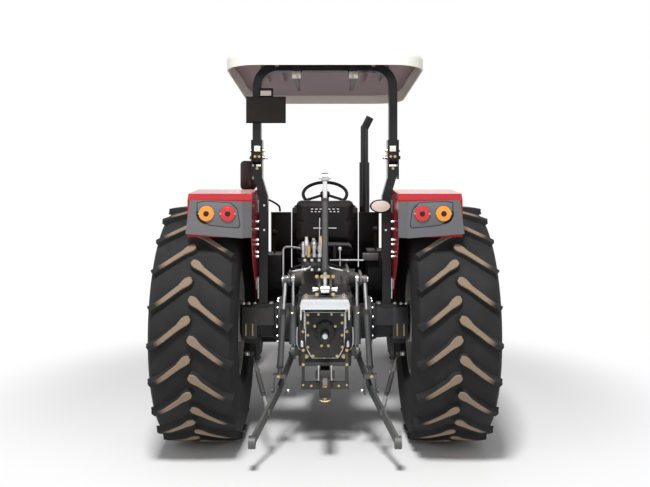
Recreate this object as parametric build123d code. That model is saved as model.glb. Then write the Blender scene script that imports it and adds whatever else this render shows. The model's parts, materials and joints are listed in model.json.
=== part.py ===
from build123d import *
from math import atan2, cos, degrees, hypot, pi, radians, sin, sqrt
import os

# Farm tractor with a roll bar and canopy, four-wheel drive and a three-point hitch.
# Millimetres. +X is the driver's right, +Y is forwards and +Z is up. While the pieces
# are made, Y is measured from the rear axle; save() then moves the whole tractor so
# that its origin is at the bottom centre of its box.

# ---- driving dimensions -------------------------------------------------------------
WHEELBASE = 2500.0
REAR_TRACK = 1716.0           # between the middles of the rear tyres
REAR_TYRE_R = 845.0           # over the lugs
REAR_TREAD_W = 514.0
REAR_SECTION_W = 580.0
REAR_RIM_R = 381.0            # bead seat
FRONT_TRACK = 1720.0
FRONT_TYRE_R = 640.0
FRONT_TREAD_W = 350.0
FRONT_SECTION_W = 380.0
FRONT_RIM_R = 305.0
RUN_CLEARANCE = 0.05          # radial, on shafts and pins that turn
SEAT_CLEARANCE = 0.3          # between pieces that lie on each other
SWING_GAP = 10.0              # between moving castings

GEARBOX_HALF_W = 185.0
TRUMPET_R = 118.0
TRUMPET_END_X = 600.0
HUB_GAP = 12.0

FLOOR_Z = 900.0               # top of the driver's platform
FLOOR_T = 6.0
FLOOR_HALF_W = 560.0
FLOOR_FRONT_Y = 1330.0

FENDER_IN_X = 482.0
FENDER_OUT_X = 905.0
FENDER_TOP_Z = 1785.0
FENDER_REAR_Y = -600.0
FENDER_T = 4.0

POST_IN_X = 410.0             # roll bar posts
POST_W = 62.0
POST_DEPTH = 100.0
POST_Y = -100.0
POST_FOOT_Z = 975.0
FOLD_Z = 2040.0
HOOP_HALF_W = 519.0
HOOP_TOP_Z = 2720.0
HOOP_BEND_R = 180.0

CANOPY_HALF_W = 690.0
CANOPY_REAR_Y = -450.0
CANOPY_FRONT_Y = 1350.0
CANOPY_TOP_Z = 2762.0
CANOPY_DEPTH = 112.0
CANOPY_T = 8.0
CANOPY_CORNER_R = 240.0
VISOR_DROP = 75.0

BONNET_HALF_W = 290.0
BONNET_REAR_Y = 1290.0
BONNET_NOSE_Y = 3190.0
BONNET_TOP_Z = 1670.0
BONNET_NOSE_Z = 1475.0
BONNET_LOW_Z = 1060.0
BONNET_T = 5.0
HINGE_Y = BONNET_REAR_Y
HINGE_Z = BONNET_TOP_Z + 10.0
HINGE_PIN_R = 5.0

COWL_HALF_W = 285.0
COWL_TOP_Z = 1640.0

AXLE_PIVOT_Z = FRONT_TYRE_R + 60.0
KINGPIN_X = 690.0
KNUCKLE_ARM = 215.0
TIE_ROD_Y = WHEELBASE - KNUCKLE_ARM

PTO_Z = 820.0
PTO_SHAFT_R = 17.5
PTO_END_Y = -470.0

ROCKSHAFT_Y = -150.0
ROCKSHAFT_Z = 1180.0
LIFT_ARM_Y = -409.0           # rod pin at the end of the lift arm
LIFT_ARM_Z = 1200.0
RAM_PIN_Y = -310.0            # ram pin on the lift arm
RAM_PIN_Z = 1192.0
RAM_FOOT_Y = -338.0
RAM_FOOT_Z = 700.0
RAM_X = 222.0

LINK_PIVOT_Y = -20.0
LINK_PIVOT_Z = 610.0
LINK_PIVOT_X = 235.0
LINK_PIN_Y = -350.0           # where the lift rod holds the lower link
LINK_PIN_Z = 425.0
LINK_PIN_X = 320.0
LINK_BALL_X = 466.0
LINK_BALL_Y = -750.0
LINK_BALL_Z = 200.0
BALL_BORE_R = 14.25           # category 2 lower link pin
STABILISER_X = 526.0

TOP_LINK_Y = -430.0
TOP_LINK_Z = 1135.0
TOP_LINK_LEN = 760.0
TOP_LINK_BORE_R = 12.75       # category 2 top link pin

WHEEL_Y = 940.0               # steering wheel centre
WHEEL_Z = 1765.0
WHEEL_R = 200.0
WHEEL_TILT = 32.0

STACK_X = 385.0
STACK_Y = 1900.0
STACK_TOP_Z = 2520.0

FRONT_END_Y = 3280.0
REAR_END_Y = -REAR_TYRE_R
ORIGIN_Y = (FRONT_END_Y + REAR_END_Y) / 2


# ---- small helpers ------------------------------------------------------------------
def block(x0, x1, y0, y1, z0, z1):
    """A box between two corners."""
    return Pos((x0 + x1) / 2, (y0 + y1) / 2, (z0 + z1) / 2) * Box(x1 - x0, y1 - y0, z1 - z0)


def rod(start, end, radius, end_radius=None):
    """A round bar, or a cone, between two points."""
    start, end = Vector(*start), Vector(*end)
    way = end - start
    plane = Plane(origin=(start + end) * 0.5, z_dir=way)
    if end_radius is None:
        return plane * Cylinder(radius, way.length)
    return plane * Cone(radius, end_radius, way.length)


def flat_bar(start, end, width, thickness, overrun=0.0):
    """A flat bar between two points: thickness lies along X as nearly as it can."""
    start, end = Vector(*start), Vector(*end)
    way = end - start
    across = Vector(0, 0, 1).cross(way) if abs(way.Z) < 0.99 * way.length else Vector(1, 0, 0)
    plane = Plane(origin=(start + end) * 0.5, x_dir=across.normalized(), z_dir=way)
    return plane * Box(thickness, width, way.length + 2 * overrun)


def side_plate(points, x0, x1):
    """A closed outline of (y, z) points, pulled from x0 to x1."""
    outline = Polyline(*[(x0, y, z) for y, z in points], close=True)
    return extrude(make_face(outline), amount=x1 - x0, dir=(1, 0, 0))


def face_plate(points, y0, y1):
    """A closed outline of (x, z) points, pulled from y0 to y1."""
    outline = Polyline(*[(x, y0, z) for x, z in points], close=True)
    return extrude(make_face(outline), amount=y1 - y0, dir=(0, 1, 0))


def plan_plate(points, z0, z1):
    """A closed outline of (x, y) points, pulled from z0 to z1."""
    outline = Polyline(*[(x, y, z0) for x, y in points], close=True)
    return extrude(make_face(outline), amount=z1 - z0, dir=(0, 0, 1))


def turned(points, y, z, x=0.0):
    """An outline of (x, radius) points turned about an axle along X."""
    outline = Polyline(*[(px, 0, r) for px, r in points], close=True)
    return Pos(x, y, z) * revolve(make_face(outline), Axis.X, 360)


def tube_path(points, radii, section_radius, wall=0.0):
    """A round tube along straight runs that are joined by arcs."""
    path = FilletPolyline(*points, radius=radii)
    start = Plane(origin=path @ 0, z_dir=path % 0)
    section = start * Circle(section_radius)
    if wall:
        section -= start * Circle(section_radius - wall)
    return sweep(section, path=path)


def mirrored(shape):
    """The same piece on the left-hand side."""
    return mirror(shape, about=Plane.YZ)


def save(name, *solids):
    """Write one node, with its origin at the bottom centre of the tractor."""
    body = Compound(children=[Pos(0, -ORIGIN_Y, 0) * s for s in solids]) if len(solids) > 1 else (
        Pos(0, -ORIGIN_Y, 0) * solids[0])
    export_step(body, f"parts/{name}.step")


FLANGE_H = 26.0
FLANGE_T = 10.0


# ---- wheels -------------------------------------------------------------------------
def tyre(outer_r, tread_w, section_w, rim_r, rim_half_w, y, z, x):
    """A tractor tyre as a closed ring, out to its lugs' tips."""
    half, side = tread_w / 2, section_w / 2
    depth = outer_r - rim_r
    bead, bead_half = rim_r + SEAT_CLEARANCE, rim_half_w - FLANGE_T - SEAT_CLEARANCE
    over_flange = rim_r + FLANGE_H + SEAT_CLEARANCE
    right = [
        (bead_half, bead), (bead_half, over_flange), (rim_half_w + 4, over_flange), (side, rim_r + 0.42 * depth),
        (side - 4, rim_r + 0.68 * depth), (half, outer_r - 0.085 * depth), (half - 16, outer_r - 0.02 * depth),
        (0.45 * half, outer_r),
    ]
    left = [(-px, r) for px, r in reversed(right)]
    return turned(right + left, y, z, x)


def rim(rim_r, half_w, dish_x, hub_r, hub_x, shaft_r, shaft_len, y, z, x, side):
    """A steel rim: flanged barrel, dished disc, hub, and the shaft that carries it.
    dish_x and hub_x are measured outwards from the middle of the tyre."""
    seat, flange, wall, lip = rim_r, rim_r + FLANGE_H, 9, FLANGE_T
    barrel = [
        (-half_w, seat - wall), (half_w, seat - wall), (half_w, flange), (half_w - lip, flange),
        (half_w - lip, seat), (-half_w + lip, seat), (-half_w + lip, flange), (-half_w, flange),
    ]
    disc = [
        (dish_x, seat - wall + 2), (dish_x + 12, seat - wall + 2), (dish_x - 18, 0.62 * seat),
        (dish_x - 18, 0.30 * seat), (dish_x - 30, 0.30 * seat), (dish_x - 30, 0.62 * seat),
    ]
    hub = [
        (hub_x, shaft_r), (hub_x, hub_r), (dish_x - 20, hub_r), (dish_x - 20, 0.36 * seat),
        (dish_x, 0.36 * seat), (dish_x, hub_r * 0.85), (dish_x + 50, hub_r * 0.7), (dish_x + 60, 0.0),
        (hub_x - shaft_len, 0.0), (hub_x - shaft_len, shaft_r),
    ]
    wheel = turned([(side * px, r) for px, r in barrel], y, z, x)
    wheel += turned([(side * px, r) for px, r in disc], y, z, x)
    wheel += turned([(side * px, r) for px, r in hub], y, z, x)
    return wheel


REAR_RIM_HALF_W = 230.0
FRONT_RIM_HALF_W = 152.0
REAR_SHAFT_R = 46.0
REAR_SHAFT_LEN = 90.0
FRONT_SHAFT_R = 32.0
FRONT_SHAFT_LEN = 60.0


def rear_wheel(side):
    x = side * REAR_TRACK / 2
    hub_x = TRUMPET_END_X + HUB_GAP - REAR_TRACK / 2
    rubber = tyre(REAR_TYRE_R, REAR_TREAD_W, REAR_SECTION_W, REAR_RIM_R, REAR_RIM_HALF_W, 0, REAR_TYRE_R, x)
    steel = rim(REAR_RIM_R, REAR_RIM_HALF_W, -90, 150, hub_x, REAR_SHAFT_R, REAR_SHAFT_LEN,
                0, REAR_TYRE_R, x, side)
    return rubber, steel


KNUCKLE_FACE_X = 800.0        # outer face of the front final drive


def front_wheel(side):
    x = side * FRONT_TRACK / 2
    hub_x = KNUCKLE_FACE_X + HUB_GAP - FRONT_TRACK / 2
    rubber = tyre(FRONT_TYRE_R, FRONT_TREAD_W, FRONT_SECTION_W, FRONT_RIM_R, FRONT_RIM_HALF_W,
                  WHEELBASE, FRONT_TYRE_R, x)
    steel = rim(FRONT_RIM_R, FRONT_RIM_HALF_W, 70, 95, hub_x, FRONT_SHAFT_R, FRONT_SHAFT_LEN,
                WHEELBASE, FRONT_TYRE_R, x, side)
    return rubber, steel


# ---- driveline ----------------------------------------------------------------------
REAR_FACE_Y = -300.0          # back of the rear housing
HOUSING_TOP_Z = 1090.0
HOUSING_LOW_Z = 560.0
GEARBOX_FRONT_Y = 1250.0
ENGINE_FRONT_Y = 2180.0


def gearbox():
    """Rear housing, its two trumpets, the gearbox and the clutch housing."""
    housing = side_plate([
        (REAR_FACE_Y, 640), (REAR_FACE_Y, 1060), (-260, HOUSING_TOP_Z), (430, HOUSING_TOP_Z), (520, 1000),
        (520, 590), (460, HOUSING_LOW_Z), (-200, HOUSING_LOW_Z),
    ], -GEARBOX_HALF_W, GEARBOX_HALF_W)
    waist = block(-165, 165, 520, 980, 590, 885)
    bell = side_plate([
        (980, 600), (980, 885), (GEARBOX_FRONT_Y, 1040), (GEARBOX_FRONT_Y, 560),
    ], -225, 225)
    shape = housing + waist + bell
    for side in (-1, 1):
        profile = [
            (GEARBOX_HALF_W - 2, 0), (GEARBOX_HALF_W - 2, 190), (GEARBOX_HALF_W + 28, 190),
            (GEARBOX_HALF_W + 40, TRUMPET_R + 14), (TRUMPET_END_X - 60, TRUMPET_R - 8),
            (TRUMPET_END_X - 40, TRUMPET_R + 22), (TRUMPET_END_X, TRUMPET_R + 22),
            (TRUMPET_END_X, REAR_SHAFT_R + RUN_CLEARANCE),
            (TRUMPET_END_X - REAR_SHAFT_LEN, REAR_SHAFT_R + RUN_CLEARANCE), (TRUMPET_END_X - REAR_SHAFT_LEN, 0),
        ]
        shape += turned([(side * px, r) for px, r in profile], 0, REAR_TYRE_R)
        # pads that carry the roll bar's feet
        pad_x = sorted((side * (POST_IN_X - 45), side * (POST_IN_X + POST_W + 45)))
        shape += block(*pad_x, POST_Y - 75, POST_Y + 75, REAR_TYRE_R, POST_FOOT_Z)
        # ears that carry the lower links, stabilisers and the rams' feet
        ear_x = sorted((side * (STABILISER_X - 46), side * (STABILISER_X - 24)))
        shape += side_plate([
            (LINK_PIVOT_Y - 45, LINK_PIVOT_Z), (LINK_PIVOT_Y - 20, LINK_PIVOT_Z - 45), (LINK_PIVOT_Y + 20, LINK_PIVOT_Z - 45),
            (LINK_PIVOT_Y + 45, LINK_PIVOT_Z), (70, REAR_TYRE_R), (-70, REAR_TYRE_R),
        ], *ear_x)
    # the bore of the power take-off shaft
    shape -= rod((0, REAR_FACE_Y - 1, PTO_Z), (0, REAR_FACE_Y + PTO_INSIDE, PTO_Z), PTO_JOURNAL_R + RUN_CLEARANCE)
    return shape


PTO_INSIDE = 120.0
PTO_SHOULDER = 30.0
PTO_JOURNAL_R = 24.0


def engine():
    """The engine as its block, head, sump, timing case and intake."""
    crank_case = block(-190, 190, GEARBOX_FRONT_Y, ENGINE_FRONT_Y, 720, 1080)
    head = block(-130, 130, GEARBOX_FRONT_Y + 60, ENGINE_FRONT_Y - 60, 1080, 1300)
    cover = block(-90, 90, GEARBOX_FRONT_Y + 90, ENGINE_FRONT_Y - 90, 1300, 1370)
    sump = side_plate([
        (GEARBOX_FRONT_Y, 720), (GEARBOX_FRONT_Y, 560), (1700, 560), (1900, 600), (ENGINE_FRONT_Y, 640),
        (ENGINE_FRONT_Y, 720),
    ], -150, 150)
    shape = crank_case + head + cover + sump
    # manifold on the right, to the foot of the exhaust stack
    shape += block(130, 185, GEARBOX_FRONT_Y + 120, ENGINE_FRONT_Y - 120, 1180, 1250)
    shape += rod((-150, 1500, 1150), (-150, 2000, 1150), 55)
    return shape


def radiator():
    core = block(-235, 235, 2300, 2400, 950, 1390)
    tank = block(-240, 240, 2290, 2410, 1390, 1430)
    shroud = Pos(0, 2270, 1170) * Rot(90, 0, 0) * Cylinder(200, 60)
    foot = block(-200, 200, 2300, 2400, FRAME_TOP_Z, 950)
    return core + tank + shroud + foot


FRAME_TOP_Z = 900.0


def front_support():
    """Front frame: two side rails, the axle's pivot bosses and the weight carrier."""
    shape = None
    for side in (-1, 1):
        rail_x = sorted((side * 150, side * 185))
        rail = side_plate([
            (ENGINE_FRONT_Y + SEAT_CLEARANCE, 760), (ENGINE_FRONT_Y + SEAT_CLEARANCE, FRAME_TOP_Z), (3120, FRAME_TOP_Z), (3120, 800),
            (2800, 760),
        ], *rail_x)
        shape = rail if shape is None else shape + rail
    shape += block(-185, 185, 3060, 3120, 700, FRAME_TOP_Z)
    shape += block(-185, 185, 2280, 2330, 800, FRAME_TOP_Z)
    for y0 in (WHEELBASE - PIVOT_BOSS_Y - BOSS_T, WHEELBASE + PIVOT_BOSS_Y):
        boss = block(-185, 185, y0, y0 + BOSS_T, 790, FRAME_TOP_Z - 20) + block(-80, 80, y0, y0 + BOSS_T, AXLE_PIVOT_Z, 800)
        boss += rod((0, y0, AXLE_PIVOT_Z), (0, y0 + BOSS_T, AXLE_PIVOT_Z), 80)
        boss -= rod((0, y0 - 1, AXLE_PIVOT_Z), (0, y0 + BOSS_T + 1, AXLE_PIVOT_Z), PIVOT_R + RUN_CLEARANCE)
        shape += boss
    # carrier for the front weights
    shape += block(-240, 240, 3120, FRONT_END_Y, 800, 850)
    shape += block(-240, 240, FRONT_END_Y - 40, FRONT_END_Y, 740, 850)
    shape += block(-90, 90, 3110, FRONT_END_Y, 700, 800)
    shape -= rod((0, FRONT_END_Y - 55, 660), (0, FRONT_END_Y - 55, 860), TOW_PIN_R)
    return shape


TOW_PIN_R = 16.0


PIVOT_BOSS_Y = 130.0
PIVOT_R = 38.0
BOSS_T = 40.0
STEER_BARREL_R = 32.0


def front_axle():
    """Driven front axle: centre housing, tubes and the yokes that hold the knuckles."""
    y, z = WHEELBASE, FRONT_TYRE_R
    shape = rod((-110, y, z), (110, y, z), 125)
    shape += rod((-FORK_X, y, z), (FORK_X, y, z), 62)
    shape += block(-110, 110, y - PIVOT_BOSS_Y + SWING_GAP, y + PIVOT_BOSS_Y - SWING_GAP, z - 60, AXLE_PIVOT_Z + 40)
    pin_reach = PIVOT_BOSS_Y + BOSS_T
    shape += rod((0, y - pin_reach, AXLE_PIVOT_Z), (0, y + pin_reach, AXLE_PIVOT_Z), PIVOT_R)
    for side in (-1, 1):
        near = side * FORK_X
        arm_x = sorted((near - side * 30, side * (KINGPIN_X + 45)))
        for z0 in (z - FORK_Z - 30, z + FORK_Z):
            shape += block(*arm_x, y - 45, y + 45, z0, z0 + 30)
        cheek_x = sorted((near - side * 30, near))
        shape += block(*cheek_x, y - 70, y + 70, z - FORK_Z - 30, z + FORK_Z + 30)
        for z0 in (z - FORK_Z - 31, z + FORK_Z - 1):
            shape -= rod((side * KINGPIN_X, y, z0), (side * KINGPIN_X, y, z0 + 32), KINGPIN_R + RUN_CLEARANCE)
    # steering cylinder behind the axle, on two lugs
    shape += rod((-150, TIE_ROD_Y, CYLINDER_Z), (150, TIE_ROD_Y, CYLINDER_Z), STEER_BARREL_R)
    shape -= rod((-151, TIE_ROD_Y, CYLINDER_Z), (151, TIE_ROD_Y, CYLINDER_Z), STEER_ROD_R + RUN_CLEARANCE)
    for x0 in (-130, 90):
        lug = block(x0, x0 + 40, TIE_ROD_Y, y - 60, CYLINDER_Z - 30, CYLINDER_Z + 25)
        lug -= rod((x0 - 1, TIE_ROD_Y, CYLINDER_Z), (x0 + 41, TIE_ROD_Y, CYLINDER_Z), STEER_BARREL_R - 1)
        shape += lug
    return shape


FORK_X = 600.0
FORK_Z = 105.0
KINGPIN_R = 24.0
CYLINDER_Z = FRONT_TYRE_R + 20.0
STEER_ROD_R = 16.0


def knuckle(side):
    """Final drive housing on its kingpin, with the steering arm at its back."""
    y, z = WHEELBASE, FRONT_TYRE_R
    reach = FORK_Z - SWING_GAP / 2
    shape = block(*sorted((side * (KINGPIN_X - 60), side * (KINGPIN_X + 60))), y - 60, y + 60, z - reach, z + reach)
    shape += turned([
        (side * (KINGPIN_X + 20), 0), (side * (KINGPIN_X + 20), 85), (side * (KINGPIN_X + 58), 85),
        (side * (KINGPIN_X + 75), 125),
        (side * KNUCKLE_FACE_X, 125), (side * KNUCKLE_FACE_X, FRONT_SHAFT_R + RUN_CLEARANCE),
        (side * (KNUCKLE_FACE_X - FRONT_SHAFT_LEN), FRONT_SHAFT_R + RUN_CLEARANCE),
        (side * (KNUCKLE_FACE_X - FRONT_SHAFT_LEN), 0),
    ], y, z)
    top = FORK_Z + 34
    shape += rod((side * KINGPIN_X, y, z - top), (side * KINGPIN_X, y, z + top), KINGPIN_R)
    # steering arm
    arm_z = ARM_TOP_Z - 22
    shape += block(*sorted((side * (KINGPIN_X - 26), side * (KINGPIN_X + 26))), TIE_ROD_Y, y - 40, arm_z, ARM_TOP_Z)
    shape += rod((side * KINGPIN_X, TIE_ROD_Y, arm_z), (side * KINGPIN_X, TIE_ROD_Y, ARM_TOP_Z), 26)
    return shape


ARM_TOP_Z = CYLINDER_Z - 26.0


def steering_rod():
    """The steering cylinder's rod with its tie rods and their eyes above the arms."""
    shape = rod((-330, TIE_ROD_Y, CYLINDER_Z), (330, TIE_ROD_Y, CYLINDER_Z), STEER_ROD_R)
    for side in (-1, 1):
        shape += rod((side * 320, TIE_ROD_Y, CYLINDER_Z), (side * KINGPIN_X, TIE_ROD_Y, CYLINDER_Z), 13)
        shape += rod((side * KINGPIN_X, TIE_ROD_Y, CYLINDER_Z - 20), (side * KINGPIN_X, TIE_ROD_Y, CYLINDER_Z + 20), 24)
    return shape


# ---- rear hitch ---------------------------------------------------------------------
SEAT_SHELF_Z = 1180.0


def lift_housing():
    """Hydraulic lift cover with the rockshaft's bearings and the top link's bracket."""
    top = HOUSING_TOP_Z
    shape = side_plate([
        (-260, top), (-260, 1150), (-230, ROCKSHAFT_Z + 60), (-70, ROCKSHAFT_Z + 60), (0, SEAT_SHELF_Z), (300, SEAT_SHELF_Z),
        (360, top),
    ], -165, 165)
    shape += rod((-ROCK_HALF_W, ROCKSHAFT_Y, ROCKSHAFT_Z), (ROCK_HALF_W, ROCKSHAFT_Y, ROCKSHAFT_Z), 62)
    shape -= rod((-ROCK_HALF_W - 1, ROCKSHAFT_Y, ROCKSHAFT_Z), (ROCK_HALF_W + 1, ROCKSHAFT_Y, ROCKSHAFT_Z),
                 ROCKSHAFT_R + RUN_CLEARANCE)
    # bracket for the top link, two cheeks and a back plate
    shape += block(-60, 60, -330, -260, top + 2, 1215)
    for side in (-1, 1):
        cheek_x = sorted((side * CHEEK_IN_X, side * (CHEEK_IN_X + 16)))
        cheek = side_plate([
            (-330, top + 2), (-330, 1215), (TOP_LINK_Y - 20, TOP_LINK_Z + 45), (TOP_LINK_Y - 40, TOP_LINK_Z),
            (TOP_LINK_Y - 20, TOP_LINK_Z - 40),
        ], *cheek_x)
        cheek -= rod((-70, TOP_LINK_Y, TOP_LINK_Z), (70, TOP_LINK_Y, TOP_LINK_Z), TOP_LINK_BORE_R + RUN_CLEARANCE)
        shape += cheek
    return shape


ROCK_HALF_W = 212.0
ROCKSHAFT_R = 35.0
CHEEK_IN_X = 30.0


def lift_arms():
    """Rockshaft with its two arms, one body that raises both lower links."""
    reach = ARM_IN_X + ARM_T + 4
    shape = rod((-reach, ROCKSHAFT_Y, ROCKSHAFT_Z), (reach, ROCKSHAFT_Y, ROCKSHAFT_Z), ROCKSHAFT_R)
    for side in (-1, 1):
        arm_x = sorted((side * (ARM_IN_X), side * (ARM_IN_X + ARM_T)))
        shape += side_plate([
            (ROCKSHAFT_Y + 58, ROCKSHAFT_Z), (ROCKSHAFT_Y + 30, ROCKSHAFT_Z + 52), (ROCKSHAFT_Y - 30, ROCKSHAFT_Z + 58),
            (LIFT_ARM_Y - 4, LIFT_ARM_Z + 30), (LIFT_ARM_Y - 28, LIFT_ARM_Z + 10), (LIFT_ARM_Y - 28, LIFT_ARM_Z - 14),
            (LIFT_ARM_Y - 4, LIFT_ARM_Z - 28), (RAM_PIN_Y + 20, RAM_PIN_Z - 45), (ROCKSHAFT_Y - 20, ROCKSHAFT_Z - 56),
            (ROCKSHAFT_Y + 40, ROCKSHAFT_Z - 42),
        ], *arm_x)
        pin_end = side * (ARM_IN_X + ARM_T + 40)
        shape += rod((side * ARM_IN_X, LIFT_ARM_Y, LIFT_ARM_Z), (pin_end, LIFT_ARM_Y, LIFT_ARM_Z), ROD_PIN_R)
    return shape


ARM_IN_X = 237.0
ARM_T = 16.0
ROD_EYE_X = ARM_IN_X + ARM_T + 5.0 + 13.0
ROD_PIN_R = 11.0


def lift_rods():
    """Two adjustable rods: a top eye, a screwed tube and a fork over the lower link."""
    solids = []
    for side in (-1, 1):
        x_top = side * ROD_EYE_X
        top, low = (x_top, LIFT_ARM_Y, LIFT_ARM_Z), (side * LINK_PIN_X, LINK_PIN_Y, LINK_PIN_Z)
        way = Vector(*low) - Vector(*top)
        unit = way.normalized()

        def along(mm, start=top, step=unit):
            return (start[0] + step.X * mm, start[1] + step.Y * mm, start[2] + step.Z * mm)

        shape = rod((x_top - 13, LIFT_ARM_Y, LIFT_ARM_Z), (x_top + 13, LIFT_ARM_Y, LIFT_ARM_Z), 27)
        shape -= rod((x_top - 15, LIFT_ARM_Y, LIFT_ARM_Z), (x_top + 15, LIFT_ARM_Y, LIFT_ARM_Z),
                     ROD_PIN_R + RUN_CLEARANCE)
        fork_root = way.length - FORK_DEPTH
        shape += rod(along(24), along(260), 12)
        shape += rod(along(240), along(fork_root - 60), 19)
        shape += rod(along(fork_root - 62), along(fork_root - 8), 15)
        # fork, square to X, round the lower link with room for the linkage's drift
        root = Vector(*along(fork_root))
        shape += Pos(root.X, root.Y, root.Z) * Box(2 * FORK_HALF_W + 20, 56, 26)
        for flank in (-1, 1):
            x0 = root.X + flank * FORK_HALF_W
            leg_x = sorted((x0, x0 + flank * 10))
            shape += side_plate([
                (root.Y + 28, root.Z + 13), (LINK_PIN_Y + 26, LINK_PIN_Z - 10), (LINK_PIN_Y + 12, LINK_PIN_Z - 28),
                (LINK_PIN_Y - 14, LINK_PIN_Z - 28), (LINK_PIN_Y - 28, LINK_PIN_Z - 10), (root.Y - 28, root.Z + 13),
            ], *leg_x)
            shape += rod((x0 + flank * 9, LINK_PIN_Y, LINK_PIN_Z), (x0 + flank * 22, LINK_PIN_Y, LINK_PIN_Z), 16)
        solids.append(shape)
    return solids


FORK_HALF_W = 34.0
FORK_DEPTH = 105.0


def lower_link(side):
    """Flat draught link with a ball at each end, and its stabiliser."""
    pivot = (side * LINK_PIVOT_X, LINK_PIVOT_Y, LINK_PIVOT_Z)
    pin = (side * LINK_PIN_X, LINK_PIN_Y, LINK_PIN_Z)
    ball = (side * LINK_BALL_X, LINK_BALL_Y, LINK_BALL_Z)
    shape = flat_bar(pivot, pin, 66, 16, 6)
    shape += flat_bar(pin, ball, 62, 18, 2)
    for point, r, half in ((pivot, 40, 20), (ball, 42, 22)):
        eye = rod((point[0] - half, point[1], point[2]), (point[0] + half, point[1], point[2]), r)
        shape += eye
    shape -= rod((ball[0] - 40, ball[1], ball[2]), (ball[0] + 40, ball[1], ball[2]), BALL_BORE_R)
    shape -= rod((pivot[0] - 40, pivot[1], pivot[2]), (pivot[0] + 40, pivot[1], pivot[2]), LINK_PIN_R + RUN_CLEARANCE)
    # stabiliser: turnbuckle from the axle's ear to a clevis on the link
    t = STABILISER_SHARE
    clevis = tuple(pin[i] + t * (ball[i] - pin[i]) for i in range(3))
    front = (side * (STABILISER_X + 4), LINK_PIVOT_Y, LINK_PIVOT_Z)
    shape += rod(front, clevis, 9)
    near = tuple(front[i] + 0.32 * (clevis[i] - front[i]) for i in range(3))
    far = tuple(front[i] + 0.72 * (clevis[i] - front[i]) for i in range(3))
    shape += rod(near, far, 17)
    shape += rod((side * (STABILISER_X - 12), LINK_PIVOT_Y, LINK_PIVOT_Z),
                 (side * (STABILISER_X + 14), LINK_PIVOT_Y, LINK_PIVOT_Z), 25)
    shape -= rod((side * (STABILISER_X - 20), LINK_PIVOT_Y, LINK_PIVOT_Z),
                 (side * (STABILISER_X + 20), LINK_PIVOT_Y, LINK_PIVOT_Z), STAB_PIN_R + RUN_CLEARANCE)
    shape += Pos(*clevis) * Box(34, 60, 40)
    return shape


LINK_PIN_R = 16.0
STAB_PIN_R = 10.0
STABILISER_SHARE = 0.42


def link_pins():
    """Pins of the lower links and stabilisers, fast in the rear housing."""
    solids = []
    for side in (-1, 1):
        shape = rod((side * (GEARBOX_HALF_W - 1), LINK_PIVOT_Y, LINK_PIVOT_Z),
                    (side * (LINK_PIVOT_X + 30), LINK_PIVOT_Y, LINK_PIVOT_Z), LINK_PIN_R)
        shape += rod((side * (STABILISER_X - 25), LINK_PIVOT_Y, LINK_PIVOT_Z),
                     (side * (STABILISER_X + 22), LINK_PIVOT_Y, LINK_PIVOT_Z), STAB_PIN_R)
        solids.append(shape)
    return solids


def ram_point(side, share):
    """A point on a ram's line, as a share of the way from its foot to its rod's eye."""
    return (side * RAM_X, RAM_FOOT_Y + share * (RAM_PIN_Y - RAM_FOOT_Y), RAM_FOOT_Z + share * (RAM_PIN_Z - RAM_FOOT_Z))


def ram_barrels():
    """Barrels of the two lift rams, on pins at the foot of the rear housing."""
    solids = []
    for side in (-1, 1):
        shape = rod(ram_point(side, 0.09), ram_point(side, 0.62), 26) + rod(ram_point(side, 0.02), ram_point(side, 0.1), 9)
        shape -= rod(ram_point(side, 0.10), ram_point(side, 0.63), RAM_ROD_R + RUN_CLEARANCE)
        shape += rod((side * RAM_X - RAM_EYE_HALF, RAM_FOOT_Y, RAM_FOOT_Z), (side * RAM_X + RAM_EYE_HALF, RAM_FOOT_Y, RAM_FOOT_Z), 30)
        shape -= rod((side * RAM_X - 20, RAM_FOOT_Y, RAM_FOOT_Z), (side * RAM_X + 20, RAM_FOOT_Y, RAM_FOOT_Z),
                     RAM_PIN_R + RUN_CLEARANCE)
        solids.append(shape)
    return solids


RAM_ROD_R = 12.5
RAM_EYE_HALF = 10.0
RAM_PIN_R = 12.0


def ram_rods():
    """Rods of the lift rams, with an eye beside each lift arm."""
    solids = []
    for side in (-1, 1):
        shape = rod(ram_point(side, 0.40), ram_point(side, 0.97), RAM_ROD_R)
        shape += rod((side * RAM_X - RAM_EYE_HALF, RAM_PIN_Y, RAM_PIN_Z), (side * RAM_X + RAM_EYE_HALF, RAM_PIN_Y, RAM_PIN_Z), 24)
        solids.append(shape)
    return solids


def ram_brackets():
    """Lugs on the rear housing that hold the rams' feet."""
    solids = []
    for side in (-1, 1):
        inner = RAM_X - RAM_EYE_HALF - 3
        lug = rod((side * (inner - 20), RAM_FOOT_Y, RAM_FOOT_Z), (side * (RAM_X + 13), RAM_FOOT_Y, RAM_FOOT_Z), RAM_PIN_R)
        lug += block(*sorted((side * (inner - 24), side * inner)), RAM_FOOT_Y - 24, REAR_FACE_Y + 30,
                     RAM_FOOT_Z - 26, RAM_FOOT_Z + 26)
        solids.append(lug)
    return solids


def top_link():
    """Top link, stowed upright: turnbuckle tube, two screwed ends with eyes."""
    y, z0, z1 = TOP_LINK_Y, TOP_LINK_Z, TOP_LINK_Z + TOP_LINK_LEN
    shape = rod((0, y, z0 + 20), (0, y, z0 + 150), 13) + rod((0, y, z0 + 130), (0, y, z1 - 150), 20)
    shape += rod((0, y, z1 - 160), (0, y, z1 - 20), 13)
    shape += rod((-CHEEK_IN_X + 3, y, z0), (CHEEK_IN_X - 3, y, z0), 28) + rod((-22, y, z1), (22, y, z1), 30)
    shape -= rod((-60, y, z1), (60, y, z1), TOP_LINK_BORE_R)
    shape += rod((-70, y, z0), (70, y, z0), TOP_LINK_BORE_R)
    return shape


def headlamps():
    solids = []
    for side in (-1, 1):
        solids.append(Pos(side * 150, BONNET_NOSE_Y - 12 - SEAT_CLEARANCE - 30, 1270) * Box(110, 60, 70))
    return solids


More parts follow.
